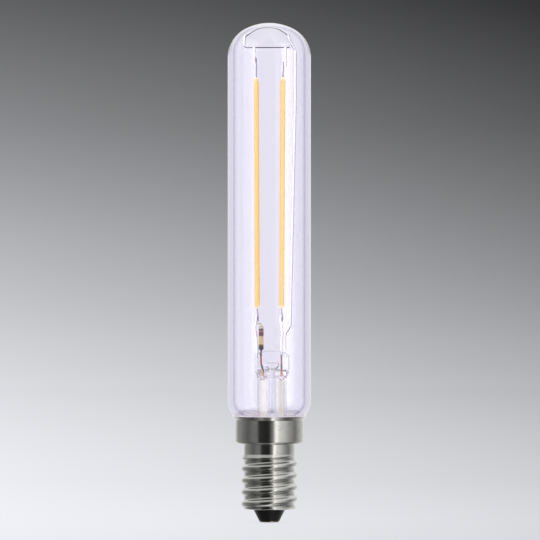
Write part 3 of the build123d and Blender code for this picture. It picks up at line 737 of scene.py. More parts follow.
@dataclass(frozen=True)
class PhosphorCoat:
    """Silicone with phosphor in it: yellow over the dice, orange at the sides as painted shade,
    pale at the tips, with a painted glow.
    """

    slot: Slot
    low: float
    high: float
    over_dice: Colour = (1.0, 0.72, 0.22)
    # Painted shade: the orange painted where the coat turns sideways, for its darker edges.
    side: Colour = (0.95, 0.44, 0.06)
    side_shade_sharpness: float = 2.2
    tip: Colour = (1.0, 0.88, 0.60)
    tip_length: float = 1.2
    # Painted light: the coat glows in its own colours.
    glow: float = 0.52
    cloud_scale: float = 1600.0
    cloud_octaves: float = 3.0
    roughness: Span = (0.32, 0.5)
    subsurface: float = 0.4
    subsurface_reach: float = 0.4
    strength: float = 0.35
    depth: float = 0.05

    def material(self) -> bpy.types.Material:
        """Build the coat.

        Returns:
            The new material.
        """
        recipe = Recipe(self.slot.value)
        # Painted shade: the coat turns orange as its normal points sideways.
        sideways = recipe.maths("ABSOLUTE", recipe.part(recipe.normal, Axis.X))
        side = recipe.maths("POWER", sideways, self.side_shade_sharpness)
        body = recipe.mix(side, self.over_dice, self.side)
        along = recipe.span(recipe.part(recipe.place, Axis.Z), self.low * MM, self.high * MM)
        edge = self.tip_length / (self.high - self.low)
        stops = ((0.0, WHITE), (edge, BLACK), (1.0 - edge, BLACK), (1.0, WHITE))
        colour = recipe.mix(recipe.ramp(along, stops, Between.EASED), body, self.tip)
        cloud = recipe.noise(self.cloud_scale, self.cloud_octaves)
        recipe.set(
            Base_Color=colour,
            Roughness=recipe.ranged(cloud, *self.roughness),
            Subsurface_Weight=self.subsurface,
            Subsurface_Scale=self.subsurface_reach * MM,
            # Painted light: emission in the coat's painted colours.
            Emission_Color=colour,
            Emission_Strength=self.glow,
        )
        recipe.relief(cloud, self.strength, self.depth)
        return recipe.material


@dataclass(frozen=True)
class Banded:
    """A finish with bands of colour one over another."""

    slot: Slot
    low: float
    high: float
    bands: ColourStops
    # Painted light: the bands glow though the part is no lamp.
    glow: float = 0.35
    gloss: float = 0.2
    coat: float = 0.2
    metallic: float = 0.0
    stain: Colour = (0.10, 0.06, 0.05)
    stain_share: float = 0.35
    cloud_scale: float = 2600.0
    cloud_octaves: float = 4.0
    roughness: Span = (0.22, 0.4)
    strength: float = 0.25
    depth: float = 0.04

    def material(self) -> bpy.types.Material:
        """Build the bands.

        Returns:
            The new material.
        """
        recipe = Recipe(self.slot.value)
        along = recipe.span(recipe.part(recipe.place, Axis.Z), self.low * MM, self.high * MM)
        painted = recipe.ramp(along, self.bands, Between.STEPPED)
        cloud = recipe.noise(self.cloud_scale, self.cloud_octaves)
        colour = recipe.mix(recipe.ranged(cloud, 0.0, self.stain_share), painted, self.stain)
        recipe.set(
            Base_Color=colour,
            # Painted light: emission in the bands' colours.
            Emission_Color=colour,
            Emission_Strength=self.glow,
            Roughness=recipe.ranged(cloud, *self.roughness),
            Specular_IOR_Level=self.gloss,
            Coat_Weight=self.coat,
            Metallic=self.metallic,
        )
        recipe.relief(cloud, self.strength, self.depth)
        return recipe.material


def dress(piece: bpy.types.Object, material: bpy.types.Material) -> None:
    """Give a piece one material in all its slots.

    Args:
        piece: The piece.
        material: Its material.
    """
    if not piece.material_slots:
        piece.data.materials.append(material)
    for material_slot in piece.material_slots:
        material_slot.material = material


def node_heights(node: str) -> tuple[float, float]:
    """Lowest and highest point of a CAD node.

    Args:
        node: The node's name.

    Returns:
        The two heights in millimetres.
    """
    low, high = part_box(node)
    return low[Axis.Z.value] / MM, high[Axis.Z.value] / MM


def dress_nodes(nodes: Iterable[str], material: bpy.types.Material) -> None:
    """Give CAD nodes one material and report them.

    Args:
        nodes: The nodes' names.
        material: Their material.
    """
    for node in nodes:
        dress(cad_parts[node], material)
        LOG.info("dressed %s with %s", node, material.name)


@dataclass
class Placed:
    """What every new piece has in common: the nodes it stands for and its body."""

    body: str = "root"

    def settle(self, piece: bpy.types.Object, slot: Slot, nodes: Iterable[str]) -> bpy.types.Object:
        """Tie a new piece to the model.

        Args:
            piece: The piece.
            slot: Not used.
            nodes: The CAD nodes it stands for.

        Returns:
            The same piece.
        """
        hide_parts(*nodes)
        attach(piece, self.body)
        LOG.info("made %s with %d faces", piece.name, len(piece.data.polygons))
        return piece


@dataclass
class GlassTube(Placed):
    """The clear outer tube: round dome, straight wall, rounded foot and the neck in the cap."""

    length: float = 120.0
    radius: float = 10.0
    wall: float = 1.3
    crown_wall: float = 0.6
    crown_radius: float = 12.5
    shoulder_radius: float = 7.8
    foot_start: float = 29.24
    foot_radius: float = 5.5
    return_radius: float = 0.6
    neck_radius: float = 7.7
    neck_end: float = 21.5
    segments: int = 192
    bend_steps: int = 24
    return_steps: int = 6
    crease: float = 50.0
    finish: ClearGlass = ClearGlass(
        Slot.CLEAR_GLASS,
        (0.99, 0.988, 1.0),
        (0.975, 0.97, 0.992),
        tint_density=46.0,
        # Painted shade: dark violet on the inner face at a graze.
        edge=(0.30, 0.26, 0.46),
        edge_shade_mark="bore",
    )

    def outline(self, inset: float, crown_inset: float) -> list[ProfilePoint]:
        """The tube's line from the top of the dome to the end of the neck.

        Args:
            inset: How far inside the outer surface the line runs.
            crown_inset: The same at the top of the dome, where the glass is thinner.

        Returns:
            The line's points.
        """
        crown_centre = self.length - self.crown_radius
        shoulder_x = self.radius - self.shoulder_radius
        crown, shoulder = self.crown_radius - crown_inset, self.shoulder_radius - inset
        rise = math.sqrt((crown - shoulder) ** 2 - shoulder_x**2)
        shoulder_centre = crown_centre + rise
        dome_angle = math.degrees(math.atan2(rise, shoulder_x))
        foot_x = self.radius - self.foot_radius
        return_x = self.neck_radius + self.return_radius
        drop = math.sqrt((self.foot_radius + self.return_radius) ** 2 - (return_x - foot_x) ** 2)
        foot_angle = math.degrees(math.atan2(drop, return_x - foot_x))
        steps = self.bend_steps
        line = arc((0.0, crown_centre), crown, 90.0, dome_angle, steps)
        line += arc((shoulder_x, shoulder_centre), shoulder, dome_angle, 0.0, steps)[1:]
        foot = self.foot_radius - inset
        line += arc((foot_x, self.foot_start), foot, 0.0, -foot_angle, steps)
        centre, turn = (return_x, self.foot_start - drop), self.return_radius + inset
        line += arc(centre, turn, 180.0 - foot_angle, 180.0, self.return_steps)[1:]
        line.append((self.neck_radius - inset, self.neck_end))
        line[0] = (0.0, self.length - crown_inset)
        return line

    def build(self) -> bpy.types.Object:
        """Make the tube and dress it.

        Returns:
            The tube.
        """
        outer = self.outline(0.0, 0.0)
        inner = self.outline(self.wall, self.crown_wall)
        rings = [ring(radius, height, self.segments) for radius, height in outer + inner[::-1]]
        tube = skin("glass_tube", [rings], self.crease)
        outer_count = 1 + (len(outer) - 1) * self.segments
        mark_vertices(tube, self.finish.edge_shade_mark, outer_count, len(tube.data.vertices))
        dress(tube, self.finish.material())
        return self.settle(tube, self.finish.slot, ["glass_envelope"])


@dataclass
class GlassStem(Placed):
    """Flare, stem tube, pinched press and the exhaust tube sealed into it, all one glass."""

    axis_x: float = 0.7
    radius: float = 3.55
    wall: float = 0.5
    flare_reach: float = 6.4
    flare_start: float = 24.3
    flare_radius: float = 2.3
    press_start: float = 34.0
    press_blend: float = 3.0
    press_top: float = 41.2
    press_half_width: float = 4.15
    press_half_depth: float = 1.4
    press_arch: float = 11.0
    press_edge: float = 0.35
    press_squareness: float = 4.5
    press_steps: int = 30
    crown_shares: tuple[float, ...] = (0.25, 0.5, 0.7, 0.84, 0.93, 0.98)
    bore_end_drop: float = 0.6
    bore_end_radius: float = 0.9
    bore_end_rise: float = 0.1
    root_radius: float = 0.45
    root_rise: float = 0.55
    exhaust_radius: float = 1.3
    exhaust_bore: float = 0.6
    exhaust_tip: float = 24.5
    exhaust_bore_tip: float = 26.0
    exhaust_top: float = 35.6
    trumpet_height: float = 38.0
    trumpet_top: float = 38.6
    trumpet_half_width: float = 1.75
    trumpet_half_depth: float = 0.9
    trumpet_closing: float = 0.45
    trumpet_crown: float = 0.1
    trumpet_steps: int = 14
    segments: int = 96
    bend_steps: int = 14
    small_steps: int = 8
    root_steps: int = 6
    tip_steps: int = 10
    crease: float = 60.0
    finish: ClearGlass = ClearGlass(
        Slot.STEM_GLASS,
        (0.975, 0.975, 0.99),
        (0.95, 0.955, 0.97),
        ior=1.52,
        streaks=900.0,
        streak_length=0.2,
        strength=0.25,
        depth=0.05,
        # Painted shade: dark edges where the stem is seen at a graze.
        edge=(0.12, 0.10, 0.18),
        edge_shade_span=(0.62, 0.92),
    )

    def press_ring(self, height: float, shrink: float) -> list[Point]:
        """A level ring of the stem's outside, round below and pinched flat above.

        Args:
            height: Height of the ring on the axis.
            shrink: Share of the full section, under 1 on the arched top.

        Returns:
            The ring's points.
        """
        flat = smooth_step(height, self.press_start, self.press_start + self.press_blend)
        half_width = self.radius + (self.press_half_width - self.radius) * flat
        half_depth = self.radius + (self.press_half_depth - self.radius) * flat
        power = 2.0 / (2.0 + (self.press_squareness - 2.0) * flat)
        arch_share = smooth_step(height, self.press_start + self.press_blend, self.press_top)
        points = []
        for index in range(self.segments):
            turn = 2.0 * math.pi * index / self.segments
            cosine, sine = math.cos(turn), math.sin(turn)
            x = math.copysign(abs(cosine) ** power, cosine) * half_width * shrink
            y = math.copysign(abs(sine) ** power, sine) * half_depth * shrink
            sag = self.press_arch - math.sqrt(self.press_arch**2 - x * x)
            edge = self.press_edge * (1.0 - math.sqrt(max(0.0, 1.0 - shrink**4)))
            points.append((x, y, height - (sag + edge) * arch_share))
        return points

    def outside(self) -> list[list[Point]]:
        """Rings from the press down the outside, round the flare and up the bore to the tip.

        Returns:
            The rings.
        """
        rings: list[list[Point]] = [[(0.0, 0.0, self.press_top)]]
        rings += [self.press_ring(self.press_top, share) for share in self.crown_shares]
        fall = self.press_start - self.press_top
        for step in range(self.press_steps + 1):
            height = self.press_top + fall * step / self.press_steps
            rings.append(self.press_ring(height, 1.0))
        centre = (self.radius + self.flare_radius, self.flare_start)
        line = arc(centre, self.flare_radius, 180.0, 270.0, self.bend_steps)
        line.append((self.flare_reach, self.flare_start - self.flare_radius))
        line.append((self.flare_reach, self.flare_start - self.flare_radius - self.wall))
        line += arc(centre, self.flare_radius + self.wall, 270.0, 180.0, self.bend_steps)
        bore = self.radius - self.wall
        line += [(bore, self.press_start - self.bore_end_drop)]
        centre = (bore - self.bore_end_radius, self.press_start + self.bore_end_rise)
        line += arc(centre, self.bore_end_radius, 0.0, 90.0, self.small_steps)
        centre = (self.exhaust_radius + self.root_radius, self.press_start + self.root_rise)
        line += arc(centre, self.root_radius, 90.0, 180.0, self.root_steps)[1:]
        centre = (0.0, self.exhaust_tip + self.exhaust_radius)
        line += arc(centre, self.exhaust_radius, 0.0, -90.0, self.tip_steps)
        line[-1] = (0.0, self.exhaust_tip)
        rings += [ring(radius, height, self.segments) for radius, height in line]
        return [self.moved(points) for points in rings]

    def moved(self, points: Sequence[Point]) -> list[Point]:
        """The ring moved to the stem's own axis, less and less out along the flare.

        Args:
            points: A ring about the lamp's axis.

        Returns:
            The moved ring.
        """
        height = points[0][2]
        out = math.hypot(points[0][0], points[0][1]) if height < self.flare_start else 0.0
        centred = smooth_step(out, self.radius, self.flare_reach)
        shift = self.axis_x * (1.0 - centred)
        return [(x + shift, y, z) for x, y, z in points]

    def hollow(self) -> list[list[Point]]:
        """Rings of the closed hollow: the exhaust tube's bore and the trumpet over it.

        Returns:
            The rings, from the bottom up.
        """
        bore = self.exhaust_bore
        centre = (0.0, self.exhaust_bore_tip + bore)
        line = arc(centre, bore, -90.0, 0.0, self.small_steps)
        line[0] = (0.0, self.exhaust_bore_tip)
        rings = [ring(radius, height, self.segments) for radius, height in line]
        for step in range(self.trumpet_steps + 1):
            share = step / self.trumpet_steps
            height = self.exhaust_top + (self.trumpet_top - self.exhaust_top) * share
            opened = smooth_step(height, self.exhaust_top, self.trumpet_height)
            closing = smooth_step(height, self.trumpet_height, self.trumpet_top)
            left = 1.0 - closing * self.trumpet_closing
            half_width = (bore + (self.trumpet_half_width - bore) * opened) * left
            half_depth = (bore + (self.trumpet_half_depth - bore) * opened) * left
            circle = ring(1.0, height, self.segments)
            rings.append([(x * half_width, y * half_depth, z) for x, y, z in circle])
        rings.append([(0.0, 0.0, self.trumpet_top + self.trumpet_crown)])
        return [self.moved(points) for points in rings]

    def build(self) -> bpy.types.Object:
        """Make the stem and dress it.

        Returns:
            The stem.
        """
        stem = skin("glass_stem", [self.outside(), self.hollow()], self.crease)
        dress(stem, self.finish.material())
        return self.settle(stem, self.finish.slot, ["stem_glass", "exhaust_tube"])


@dataclass
class ScrewCap(Placed):
    """The plated cap: drawn sheet with a knuckle thread, a step, a collar and a flared rim."""

    wall: float = 0.25
    bottom: float = 3.1
    mouth_radius: float = 4.0
    body_radius: float = 6.025
    neck_radius: float = 6.225
    pitch: float = 2.822
    crest_radius: float = 6.8
    root_radius: float = 6.05
    first_crest: float = 5.71
    thread_bottom: float = 3.15
    fade_start: float = 14.8
    fade_end: float = 16.6
    step_below_neck: float = 0.4
    plain_margin: float = 0.3
    bottom_round: float = 1.15
    room: float = 0.1
    shelf: float = 19.125
    collar_radius: float = 8.3
    collar_top: float = 24.6
    rim_radius: float = 8.95
    rim_height: float = 25.5
    bends: tuple[float, ...] = (0.35, 0.3, 0.3, 0.3, 0.6, 0.4)
    bend_steps: int = 6
    segments: int = 168
    ring_spacing: float = 0.12
    soften: float = 0.12
    crease: float = 50.0
    plate: PlatedCap = PlatedCap()

    def middle_line(self) -> list[ProfilePoint]:
        """The line through the middle of the sheet, from the mouth to the rim.

        Returns:
            The line's points.
        """
        half = self.wall / 2.0
        points = [
            (self.mouth_radius, self.bottom + half),
            (self.body_radius - half, self.bottom + half),
            (self.body_radius - half, self.fade_end - self.step_below_neck),
            (self.neck_radius - half, self.fade_end),
            (self.neck_radius - half, self.shelf - half),
            (self.collar_radius - half, self.shelf - half),
            (self.collar_radius - half, self.collar_top),
            (self.rim_radius - half, self.rim_height),
        ]
        return subdivided(round_corners(points, self.bends, self.bend_steps), self.ring_spacing)

    def wave_radius(self, height: float, turn: float) -> float:
        """Radius of the thread's surface, crest and root arcs of one radius.

        Args:
            height: Height of the point.
            turn: Angle about the axis, as a share of a turn.

        Returns:
            The radius.
        """
        half_depth = (self.crest_radius - self.root_radius) / 2.0
        quarter = self.pitch / 4.0
        bend = (quarter**2 + half_depth**2) / (2.0 * half_depth)
        phase = (height - self.first_crest) / self.pitch - turn
        from_crest = abs(phase - round(phase)) * self.pitch
        if from_crest < quarter:
            return self.crest_radius - bend + math.sqrt(bend**2 - from_crest**2)
        from_root = self.pitch / 2.0 - from_crest
        return self.root_radius + bend - math.sqrt(bend**2 - from_root**2)

    def room_radius(self, height: float) -> float:
        """Radius the thread may reach at a height: rounded in below, fading to the neck above.

        Args:
            height: Height of the point.

        Returns:
            The radius.
        """
        outer = self.crest_radius + self.room
        centre = self.thread_bottom + self.bottom_round
        if height < centre:
            drop = min(centre - height, self.bottom_round)
            return outer - self.bottom_round + math.sqrt(self.bottom_round**2 - drop**2)
        if height > self.fade_start:
            share = (height - self.fade_start) / (self.fade_end - self.fade_start)
            return outer + (self.neck_radius - self.wall / 2.0 - outer) * min(share, 1.0)
        return outer

    def outer_ring(self, radius: float, height: float) -> list[Point]:
        """A ring of the outside, with the thread standing on the sheet.

        Args:
            radius: The sheet's own radius there.
            height: Height of the ring.

        Returns:
            The ring's points.
        """
        threaded = self.thread_bottom < height < self.fade_end
        if radius < self.body_radius - self.plain_margin or not threaded:
            return ring(radius, height, self.segments)
        room = self.room_radius(height)
        points = []
        for index in range(self.segments):
            turn = index / self.segments
            thread = soft_min(self.wave_radius(height, turn), room, self.soften)
            reach = -soft_min(-thread, -radius, self.soften)
            reach = min(reach, self.crest_radius)
            angle = 2.0 * math.pi * turn
            points.append((reach * math.cos(angle), reach * math.sin(angle), height))
        return points

    def build(self) -> bpy.types.Object:
        """Make the cap and dress it.

        Returns:
            The cap.
        """
        line = self.middle_line()
        half = self.wall / 2.0
        outer = [self.outer_ring(*place) for place in offset_line(line, half)]
        inner = [ring(*place, self.segments) for place in offset_line(line, -half)]
        rings = inner + outer[::-1]
        cap = skin("screw_cap_shell", [rings + rings[:1]], self.crease)
        mark_vertices(cap, self.plate.lining_mark, 0, len(inner) * self.segments)
        dress(cap, self.plate.material())
        return self.settle(cap, self.plate.slot, ["cap_shell"])


@dataclass
class CapFittings:
    """What fills and closes the cap: black glass insulator, contact, solder and cement."""

    insulator: Finish = Finish(
        Slot.INSULATOR_BLACK,
        (0.012, 0.012, 0.013),
        (0.022, 0.022, 0.023),
        (0.32, 0.5),
        grain=900.0,
        gloss=0.3,
    )
    contact: Finish = Finish(
        Slot.CONTACT_METAL,
        (0.42, 0.38, 0.30),
        (0.25, 0.22, 0.18),
        (0.25, 0.45),
        metallic=1.0,
        grain=1500.0,
    )
    solder: Finish = Finish(
        Slot.SOLDER,
        (0.55, 0.56, 0.58),
        (0.38, 0.39, 0.40),
        (0.2, 0.45),
        metallic=1.0,
        strength=0.4,
    )
    cement: Finish = Finish(
        Slot.CEMENT,
        (0.93, 0.90, 0.90),
        (0.88, 0.83, 0.80),
        (0.8, 0.95),
        grain=2500.0,
        strength=0.6,
        depth=0.08,
        # Painted light: the cement glows.
        glow=0.45,
    )

    def build(self) -> None:
        """Dress the fittings."""
        dress_nodes(["insulator"], self.insulator.material())
        dress_nodes(["centre_contact"], self.contact.material())
        dress_nodes(["contact_solder", "shell_solder", "board_solder"], self.solder.material())
        dress_nodes(["basing_cement"], self.cement.material())


@dataclass
class Filaments:
    """The two filaments: dice on a ceramic strip inside a coat of phosphor."""

    sides: tuple[str, ...] = ("left", "right")
    strip: Finish = Finish(
        Slot.WHITE_CERAMIC,
        (0.86, 0.85, 0.80),
        (0.78, 0.77, 0.72),
        (0.35, 0.5),
        subsurface=0.2,
    )
    dice: Finish = Finish(
        Slot.LED_DIE,
        (0.30, 0.34, 0.52),
        (0.52, 0.54, 0.62),
        (0.1, 0.25),
        coat=0.5,
    )

    def build(self) -> None:
        """Dress the coats, strips and dice."""
        low, high = node_heights("left_filament")
        coat = PhosphorCoat(Slot.PHOSPHOR, low, high).material()
        dress_nodes([f"{side}_filament" for side in self.sides], coat)
        dress_nodes([f"{side}_led_strip" for side in self.sides], self.strip.material())
        dress_nodes([f"{side}_led_chips" for side in self.sides], self.dice.material())


@dataclass
class Wires:
    """Support wire, hangers, pins, lead-in wires, seal wires and the sleeved copper leads."""

    nickel_wires: tuple[str, ...] = (
        "support_wire",
        "left_hanger",
        "right_hanger",
        "left_post_wire",
        "right_lead_wire",
        "shell_wire",
    )
    pins: tuple[str, ...] = ("left_top_pin", "right_top_pin", "left_bottom_pin", "right_bottom_pin")
    nickel: Finish = Finish(
        Slot.NICKEL_WIRE,
        (0.94, 0.92, 0.96),
        (0.80, 0.78, 0.82),
        (0.08, 0.2),
        metallic=1.0,
        grain=2200.0,
        stretch=(1.0, 1.0, 0.15),
        edge=(0.12, 0.09, 0.20),
        # Painted shade on the wires' undersides.
        underside_shade=(0.10, 0.07, 0.13),
    )
    pin: Finish = Finish(
        Slot.PIN_STEEL,
        (0.26, 0.19, 0.30),
        (0.38, 0.31, 0.42),
        (0.3, 0.5),
        metallic=1.0,
    )
    seal_bands: ColourStops = (
        (0.0, (0.50, 0.05, 0.04)),
        (0.22, (0.03, 0.06, 0.02)),
        (0.45, (0.75, 0.10, 0.07)),
        (0.62, (0.45, 0.16, 0.10)),
        (0.80, (0.70, 0.12, 0.08)),
        (0.93, (0.03, 0.02, 0.02)),
    )
    # Painted light: the seal wires glow faintly.
    seal_glow: float = 0.1
    seal_metallic: float = 0.3
    copper: Finish = Finish(
        Slot.COPPER,
        (0.72, 0.40, 0.24),
        (0.55, 0.29, 0.17),
        (0.25, 0.45),
        metallic=1.0,
    )
    sleeve: Finish = Finish(
        Slot.LEAD_SLEEVE,
        (0.93, 0.91, 0.84),
        (0.86, 0.82, 0.71),
        (0.6, 0.8),
        grain=5000.0,
        stretch=(1.0, 1.0, 0.3),
        strength=0.5,
        depth=0.06,
        subsurface=0.2,
        # Painted light: the sleeves glow.
        glow=0.6,
    )

    def seal_finish(self) -> Banded:
        """The seal wires' finish, over their own height."""
        return Banded(
            Slot.SEAL_WIRE,
            *node_heights("left_seal_wire"),
            self.seal_bands,
            glow=self.seal_glow,
            coat=0.0,
            metallic=self.seal_metallic,
        )

    def build(self) -> None:
        """Dress the wires."""
        dress_nodes(self.nickel_wires, self.nickel.material())
        dress_nodes(self.pins, self.pin.material())
        dress_nodes(["left_seal_wire", "right_seal_wire"], self.seal_finish().material())
        dress_nodes(["left_copper_lead", "right_copper_lead"], self.copper.material())
        dress_nodes(["left_lead_sleeve", "right_lead_sleeve"], self.sleeve.material())


@dataclass
class SeriesResistor:
    """The brown and gold part on the left lead."""

    low: float = 41.4
    high: float = 47.2
    bands: ColourStops = (
        (0.0, (0.02, 0.02, 0.01)),
        (0.16, (0.20, 0.14, 0.05)),
        (0.22, (0.88, 0.66, 0.32)),
        (0.52, (0.78, 0.55, 0.28)),
        (0.58, (0.20, 0.05, 0.05)),
        (0.74, (0.50, 0.25, 0.15)),
        (0.80, (0.22, 0.06, 0.05)),
        (0.88, (0.90, 0.78, 0.62)),
    )

    def build(self) -> None:
        """Dress the resistor."""
        lacquer = Banded(Slot.RESISTOR_BODY, self.low, self.high, self.bands)
        dress_nodes(["series_resistor"], lacquer.material())


@dataclass
class Driver:
    """The driver board and its parts, in their insulating sleeve inside the cap."""

    board: Finish = Finish(
        Slot.BOARD_GREEN,
        (0.03, 0.20, 0.07),
        (0.02, 0.13, 0.05),
        (0.25, 0.4),
        coat=0.5,
    )
    liner: Finish = Finish(Slot.LINER_FILM, (0.70, 0.66, 0.50), (0.62, 0.58, 0.42), (0.2, 0.35))
    chip: Finish = Finish(
        Slot.CHIP_BLACK,
        (0.020, 0.020, 0.022),
        (0.035, 0.035, 0.038),
        (0.4, 0.6),
    )
    small_chip: Finish = Finish(
        Slot.CHIP_RESISTOR,
        (0.05, 0.05, 0.06),
        (0.50, 0.48, 0.44),
        (0.3, 0.5),
    )
    capacitor: Finish = Finish(
        Slot.CAPACITOR_SLEEVE,
        (0.05, 0.03, 0.02),
        (0.10, 0.06, 0.03),
        (0.25, 0.4),
        coat=0.4,
    )
    fuse: Finish = Finish(
        Slot.FUSE_BODY,
        (0.25, 0.42, 0.34),
        (0.20, 0.34, 0.28),
        (0.3, 0.45),
        coat=0.4,
    )

    def build(self) -> None:
        """Dress the board and its parts."""
        dress_nodes(["driver_board"], self.board.material())
        dress_nodes(["board_liner"], self.liner.material())
        dress_nodes(["bridge_rectifier", "driver_chip"], self.chip.material())
        dress_nodes(["small_chips"], self.small_chip.material())
        dress_nodes(["smoothing_capacitor"], self.capacitor.material())
        dress_nodes(["fuse_resistor"], self.fuse.material())


class Sky(NodeSheet):
    """The world's node tree while it is being put together."""

    def __init__(self, tree: bpy.types.NodeTree) -> None:
        """Start from the world's own nodes.

        Args:
            tree: The world's node tree.
        """
        super().__init__(tree)
        direction = self.add("TexCoord").outputs["Generated"]
        forward = self.maths("MULTIPLY", self.part(direction, Axis.Y), -1.0)
        turn = self.maths("ARCTAN2", self.part(direction, Axis.X), forward)
        self.rise = self.part(direction, Axis.Z)
        self.bearing = self.span(turn, -math.pi, math.pi)

    def belt(self, levels: Levels, tint: Colour = WHITE) -> Socket:
        """Light all round the horizon.

        Args:
            levels: Bearings in degrees from the camera's side, right positive, and the
                light's strength at each.
            tint: The light's colour.

        Returns:
            The light's colour in each direction.
        """
        stops = []
        for angle, strength in levels:
            share = (angle + 180.0) / 360.0
            stops.append((share, tuple(strength * part for part in tint)))
        return self.ramp(self.bearing, stops)

    def cap_share(self, side: Side, elevations: Span) -> Socket:
        """Share of a direction that belongs to the light overhead or underneath.

        Args:
            side: Overhead or underneath.
            elevations: Sines of the elevations where it begins and where it is whole.

        Returns:
            The share, from 0 to 1.
        """
        reach = self.maths("MULTIPLY", self.rise, side.value)
        inputs = {"Value": reach, "From Min": elevations[0], "From Max": elevations[1]}
        node = self.add("MapRange", inputs, interpolation_type="SMOOTHSTEP")
        return node.outputs["Result"]

    def scaled(self, colour: Socket, factor: float, added: float) -> Socket:
        """A colour times a factor plus an even amount.

        Args:
            colour: The colour.
            factor: What it is multiplied by.
            added: What is added.

        Returns:
            The new colour.
        """
        inputs = {0: colour, 1: (factor,) * 3, 2: (added,) * 3}
        return self.add("VectorMath", inputs, operation="MULTIPLY_ADD").outputs["Vector"]


@dataclass
class Studio:
    """Camera, pale floor running up into a grey backdrop, and soft light from all round."""

    camera_place: Point = (0.00017, -1.1, 0.0606)
    lens: float = 304.9
    sensor: float = 36.0
    view_reach: float = 20.0
    bounces: int = 32
    floor_radius: float = 1150.0
    cove_radius: float = 260.0
    wall_height: float = 1600.0
    segments: int = 96
    floor_steps: int = 24
    cove_steps: int = 16
    crease: float = 80.0
    floor_greys: Levels = (
        (0.0, 0.79),
        (0.11, 0.72),
        (0.37, 0.637),
        (0.60, 0.578),
        (0.64, 0.51),
        (0.705, 0.34),
        (0.76, 0.18),
        (0.806, 0.076),
        (1.0, 0.03),
    )
    floor_leans: Levels = (
        (0.0, 1.36),
        (0.11, 1.34),
        (0.37, 1.05),
        (0.64, 0.84),
        (0.705, 0.72),
        (0.806, 0.29),
        (1.0, 0.1),
    )
    lean_reach: float = 0.15
    floor_tint: Colour = (0.99, 1.0, 1.045)
    floor_reach: float = 2.0
    floor_glow: float = 0.955
    floor_base: float = 0.10
    light: Levels = (
        (-180.0, 0.95),
        (-150.0, 0.80),
        (-131.0, 0.37),
        (-77.0, 0.13),
        (-50.0, 0.22),
        (-40.0, 0.20),
        (-36.0, 0.035),
        (0.0, 0.012),
        (15.0, 0.30),
        (20.0, 1.40),
        (29.0, 1.40),
        (33.0, 0.84),
        (43.0, 0.80),
        (70.0, 0.40),
        (96.0, 0.20),
        (114.0, 0.45),
        (150.0, 0.80),
        (180.0, 0.95),
    )
    overhead: Span = (0.60, 0.52)
    overhead_span: Span = (0.12, 0.6)
    from_below: Span = (0.24, 0.05)
    below_span: Span = (0.35, 0.85)
    from_floor: Span = (1.05, 0.10)
    straight_down_span: Span = (0.85, 0.95)
    see_through: Colour = (0.93, 0.925, 0.985)
    light_in_glass: Levels = (
        (-180.0, 0.88),
        (-134.0, 0.90),
        (-116.0, 1.50),
        (-92.0, 2.20),
        (-78.0, 4.40),
        (-58.0, 4.60),
        (-44.0, 3.80),
        (-36.0, 1.15),
        (32.0, 1.15),
        (38.0, 2.50),
        (56.0, 2.50),
        (62.0, 0.25),
        (104.0, 0.20),
        (120.0, 0.80),
        (180.0, 0.88),
    )
    tint_in_glass: Colour = (1.0, 0.985, 1.04)
    above_wires: float = 1.35
    above_wires_span: Span = (0.45, 0.8)
    below_wires: float = 0.04
    below_wires_span: Span = (0.45, 0.7)

    def camera(self) -> None:
        """Place the camera level with the lamp's middle, far off with a long lens."""
        data = bpy.data.cameras.new("camera")
        data.lens = self.lens
        data.sensor_width = self.sensor
        data.clip_end = self.view_reach
        data.dof.use_dof = False
        camera = bpy.data.objects.new("camera", data)
        camera.location = self.camera_place
        camera.rotation_euler = (math.pi / 2.0, 0.0, 0.0)
        bpy.context.scene.collection.objects.link(camera)
        bpy.context.scene.camera = camera

    def backdrop_material(self) -> bpy.types.Material:
        """Matt paper whose tone is painted light: it glows pale underfoot and darker up the wall
        and to the right.

        Returns:
            The new material.
        """
        recipe = Recipe("studio_paper")
        along = recipe.maths("ADD", recipe.from_axis(), recipe.part(recipe.place, Axis.Z))
        share = recipe.span(along, 0.0, self.floor_reach)
        grey = recipe.ramp(share, [(place, (value,) * 3) for place, value in self.floor_greys])
        lean = recipe.ramp(share, [(place, (value,) * 3) for place, value in self.floor_leans])
        inputs = {
            "Value": recipe.part(recipe.place, Axis.X),
            "From Min": -self.lean_reach,
            "From Max": self.lean_reach,
            "To Min": self.lean_reach,
            "To Max": -self.lean_reach,
        }
        left = recipe.add("MapRange", inputs).outputs["Result"]
        inputs = {0: lean, 1: left, 2: grey}
        tone = recipe.add("VectorMath", inputs, operation="MULTIPLY_ADD").outputs["Vector"]
        inputs = {0: tone, 1: self.floor_tint}
        tone = recipe.add("VectorMath", inputs, operation="MULTIPLY").outputs["Vector"]
        inputs = {0: tone, "Scale": self.floor_base}
        recipe.set(
            Base_Color=recipe.add("VectorMath", inputs, operation="SCALE").outputs["Vector"],
            Roughness=1.0,
            Specular_IOR_Level=0.0,
            # Painted light: the paper glows in its painted tone, so the lamp casts only a faint
            # shadow on it.
            Emission_Color=tone,
            Emission_Strength=self.floor_glow,
        )
        return recipe.material

    def backdrop(self) -> None:
        """Lay the floor and turn it up into a wall all round, out beyond the camera."""
        count = self.floor_steps
        line = [(self.floor_radius * step / count, 0.0) for step in range(count)]
        corner = (self.floor_radius, self.cove_radius)
        line += arc(corner, self.cove_radius, -90.0, 0.0, self.cove_steps)
        line.append((self.floor_radius + self.cove_radius, self.wall_height))
        rings = [ring(radius, height, self.segments) for radius, height in line]
        paper = skin("studio_paper", [rings], self.crease)
        dress(paper, self.backdrop_material())
        paper.visible_transmission = False
        paper.visible_glossy = False
        paper.visible_diffuse = False
        paper.visible_shadow = False

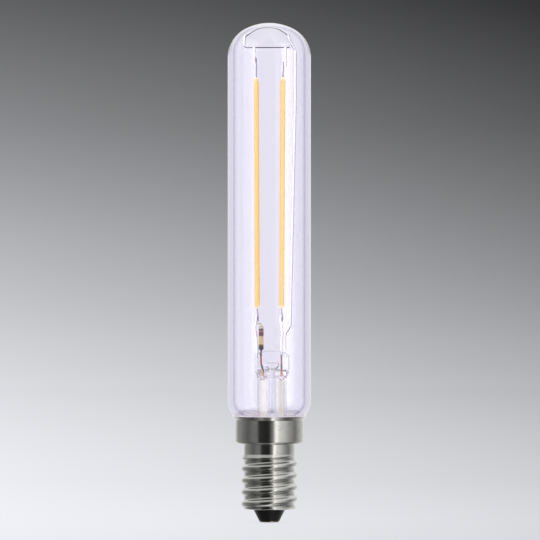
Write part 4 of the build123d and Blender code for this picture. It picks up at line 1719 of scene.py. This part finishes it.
    def room(self, sky: Sky) -> Socket:
        """What metal mirrors: softboxes and dark gaps all round, soft light over and under.

        Args:
            sky: The world's node tree.

        Returns:
            The light's colour in each direction.
        """
        belt = sky.belt(self.light)
        light = belt
        for side, elevations, levels in (
            (Side.ABOVE, self.overhead_span, self.overhead),
            (Side.BELOW, self.below_span, self.from_below),
            (Side.BELOW, self.straight_down_span, self.from_floor),
        ):
            share = sky.cap_share(side, elevations)
            light = sky.mix(share, light, sky.scaled(belt, *levels))
        return light

    def tent(self, sky: Sky) -> Socket:
        """What glass shows: one even pale tone straight through, softboxes in what lies inside.

        Args:
            sky: The world's node tree.

        Returns:
            The light's colour in each direction.
        """
        mirrored = sky.belt(self.light_in_glass, self.tint_in_glass)
        for side, elevations, level in (
            (Side.ABOVE, self.above_wires_span, self.above_wires),
            (Side.BELOW, self.below_wires_span, self.below_wires),
        ):
            mirrored = sky.mix(sky.cap_share(side, elevations), mirrored, (level,) * 3)
        times_mirrored = sky.add("LightPath").outputs["Glossy Depth"]
        share = sky.maths("GREATER_THAN", times_mirrored, 0.5)
        return sky.mix(share, self.see_through, mirrored)

    def world(self) -> None:
        """Light the lamp from all round."""
        world = bpy.data.worlds.new("studio_light")
        world.use_nodes = True
        bpy.context.scene.world = world
        sky = Sky(world.node_tree)
        through_glass = sky.add("LightPath").outputs["Is Transmission Ray"]
        lit = sky.mix(through_glass, self.room(sky), self.tent(sky))
        sky.plug(lit, sky.nodes["Background"].inputs["Color"])

    def build(self) -> None:
        """Set up the camera, the backdrop and the light."""
        scene = bpy.context.scene
        scene.view_settings.view_transform = "Standard"
        scene.cycles.max_bounces = self.bounces
        scene.cycles.transmission_bounces = self.bounces
        scene.cycles.glossy_bounces = self.bounces
        self.camera()
        self.backdrop()
        self.world()
        LOG.info("studio ready")


def main() -> None:
    """Build the lamp round its frame, then the studio round the lamp."""
    logging.basicConfig(level=logging.INFO, format="%(message)s")
    for part in (
        GlassTube(),
        GlassStem(),
        ScrewCap(),
        CapFittings(),
        Filaments(),
        Wires(),
        SeriesResistor(),
        Driver(),
        Studio(),
    ):
        part.build()


if __name__ == "__main__":
    main()
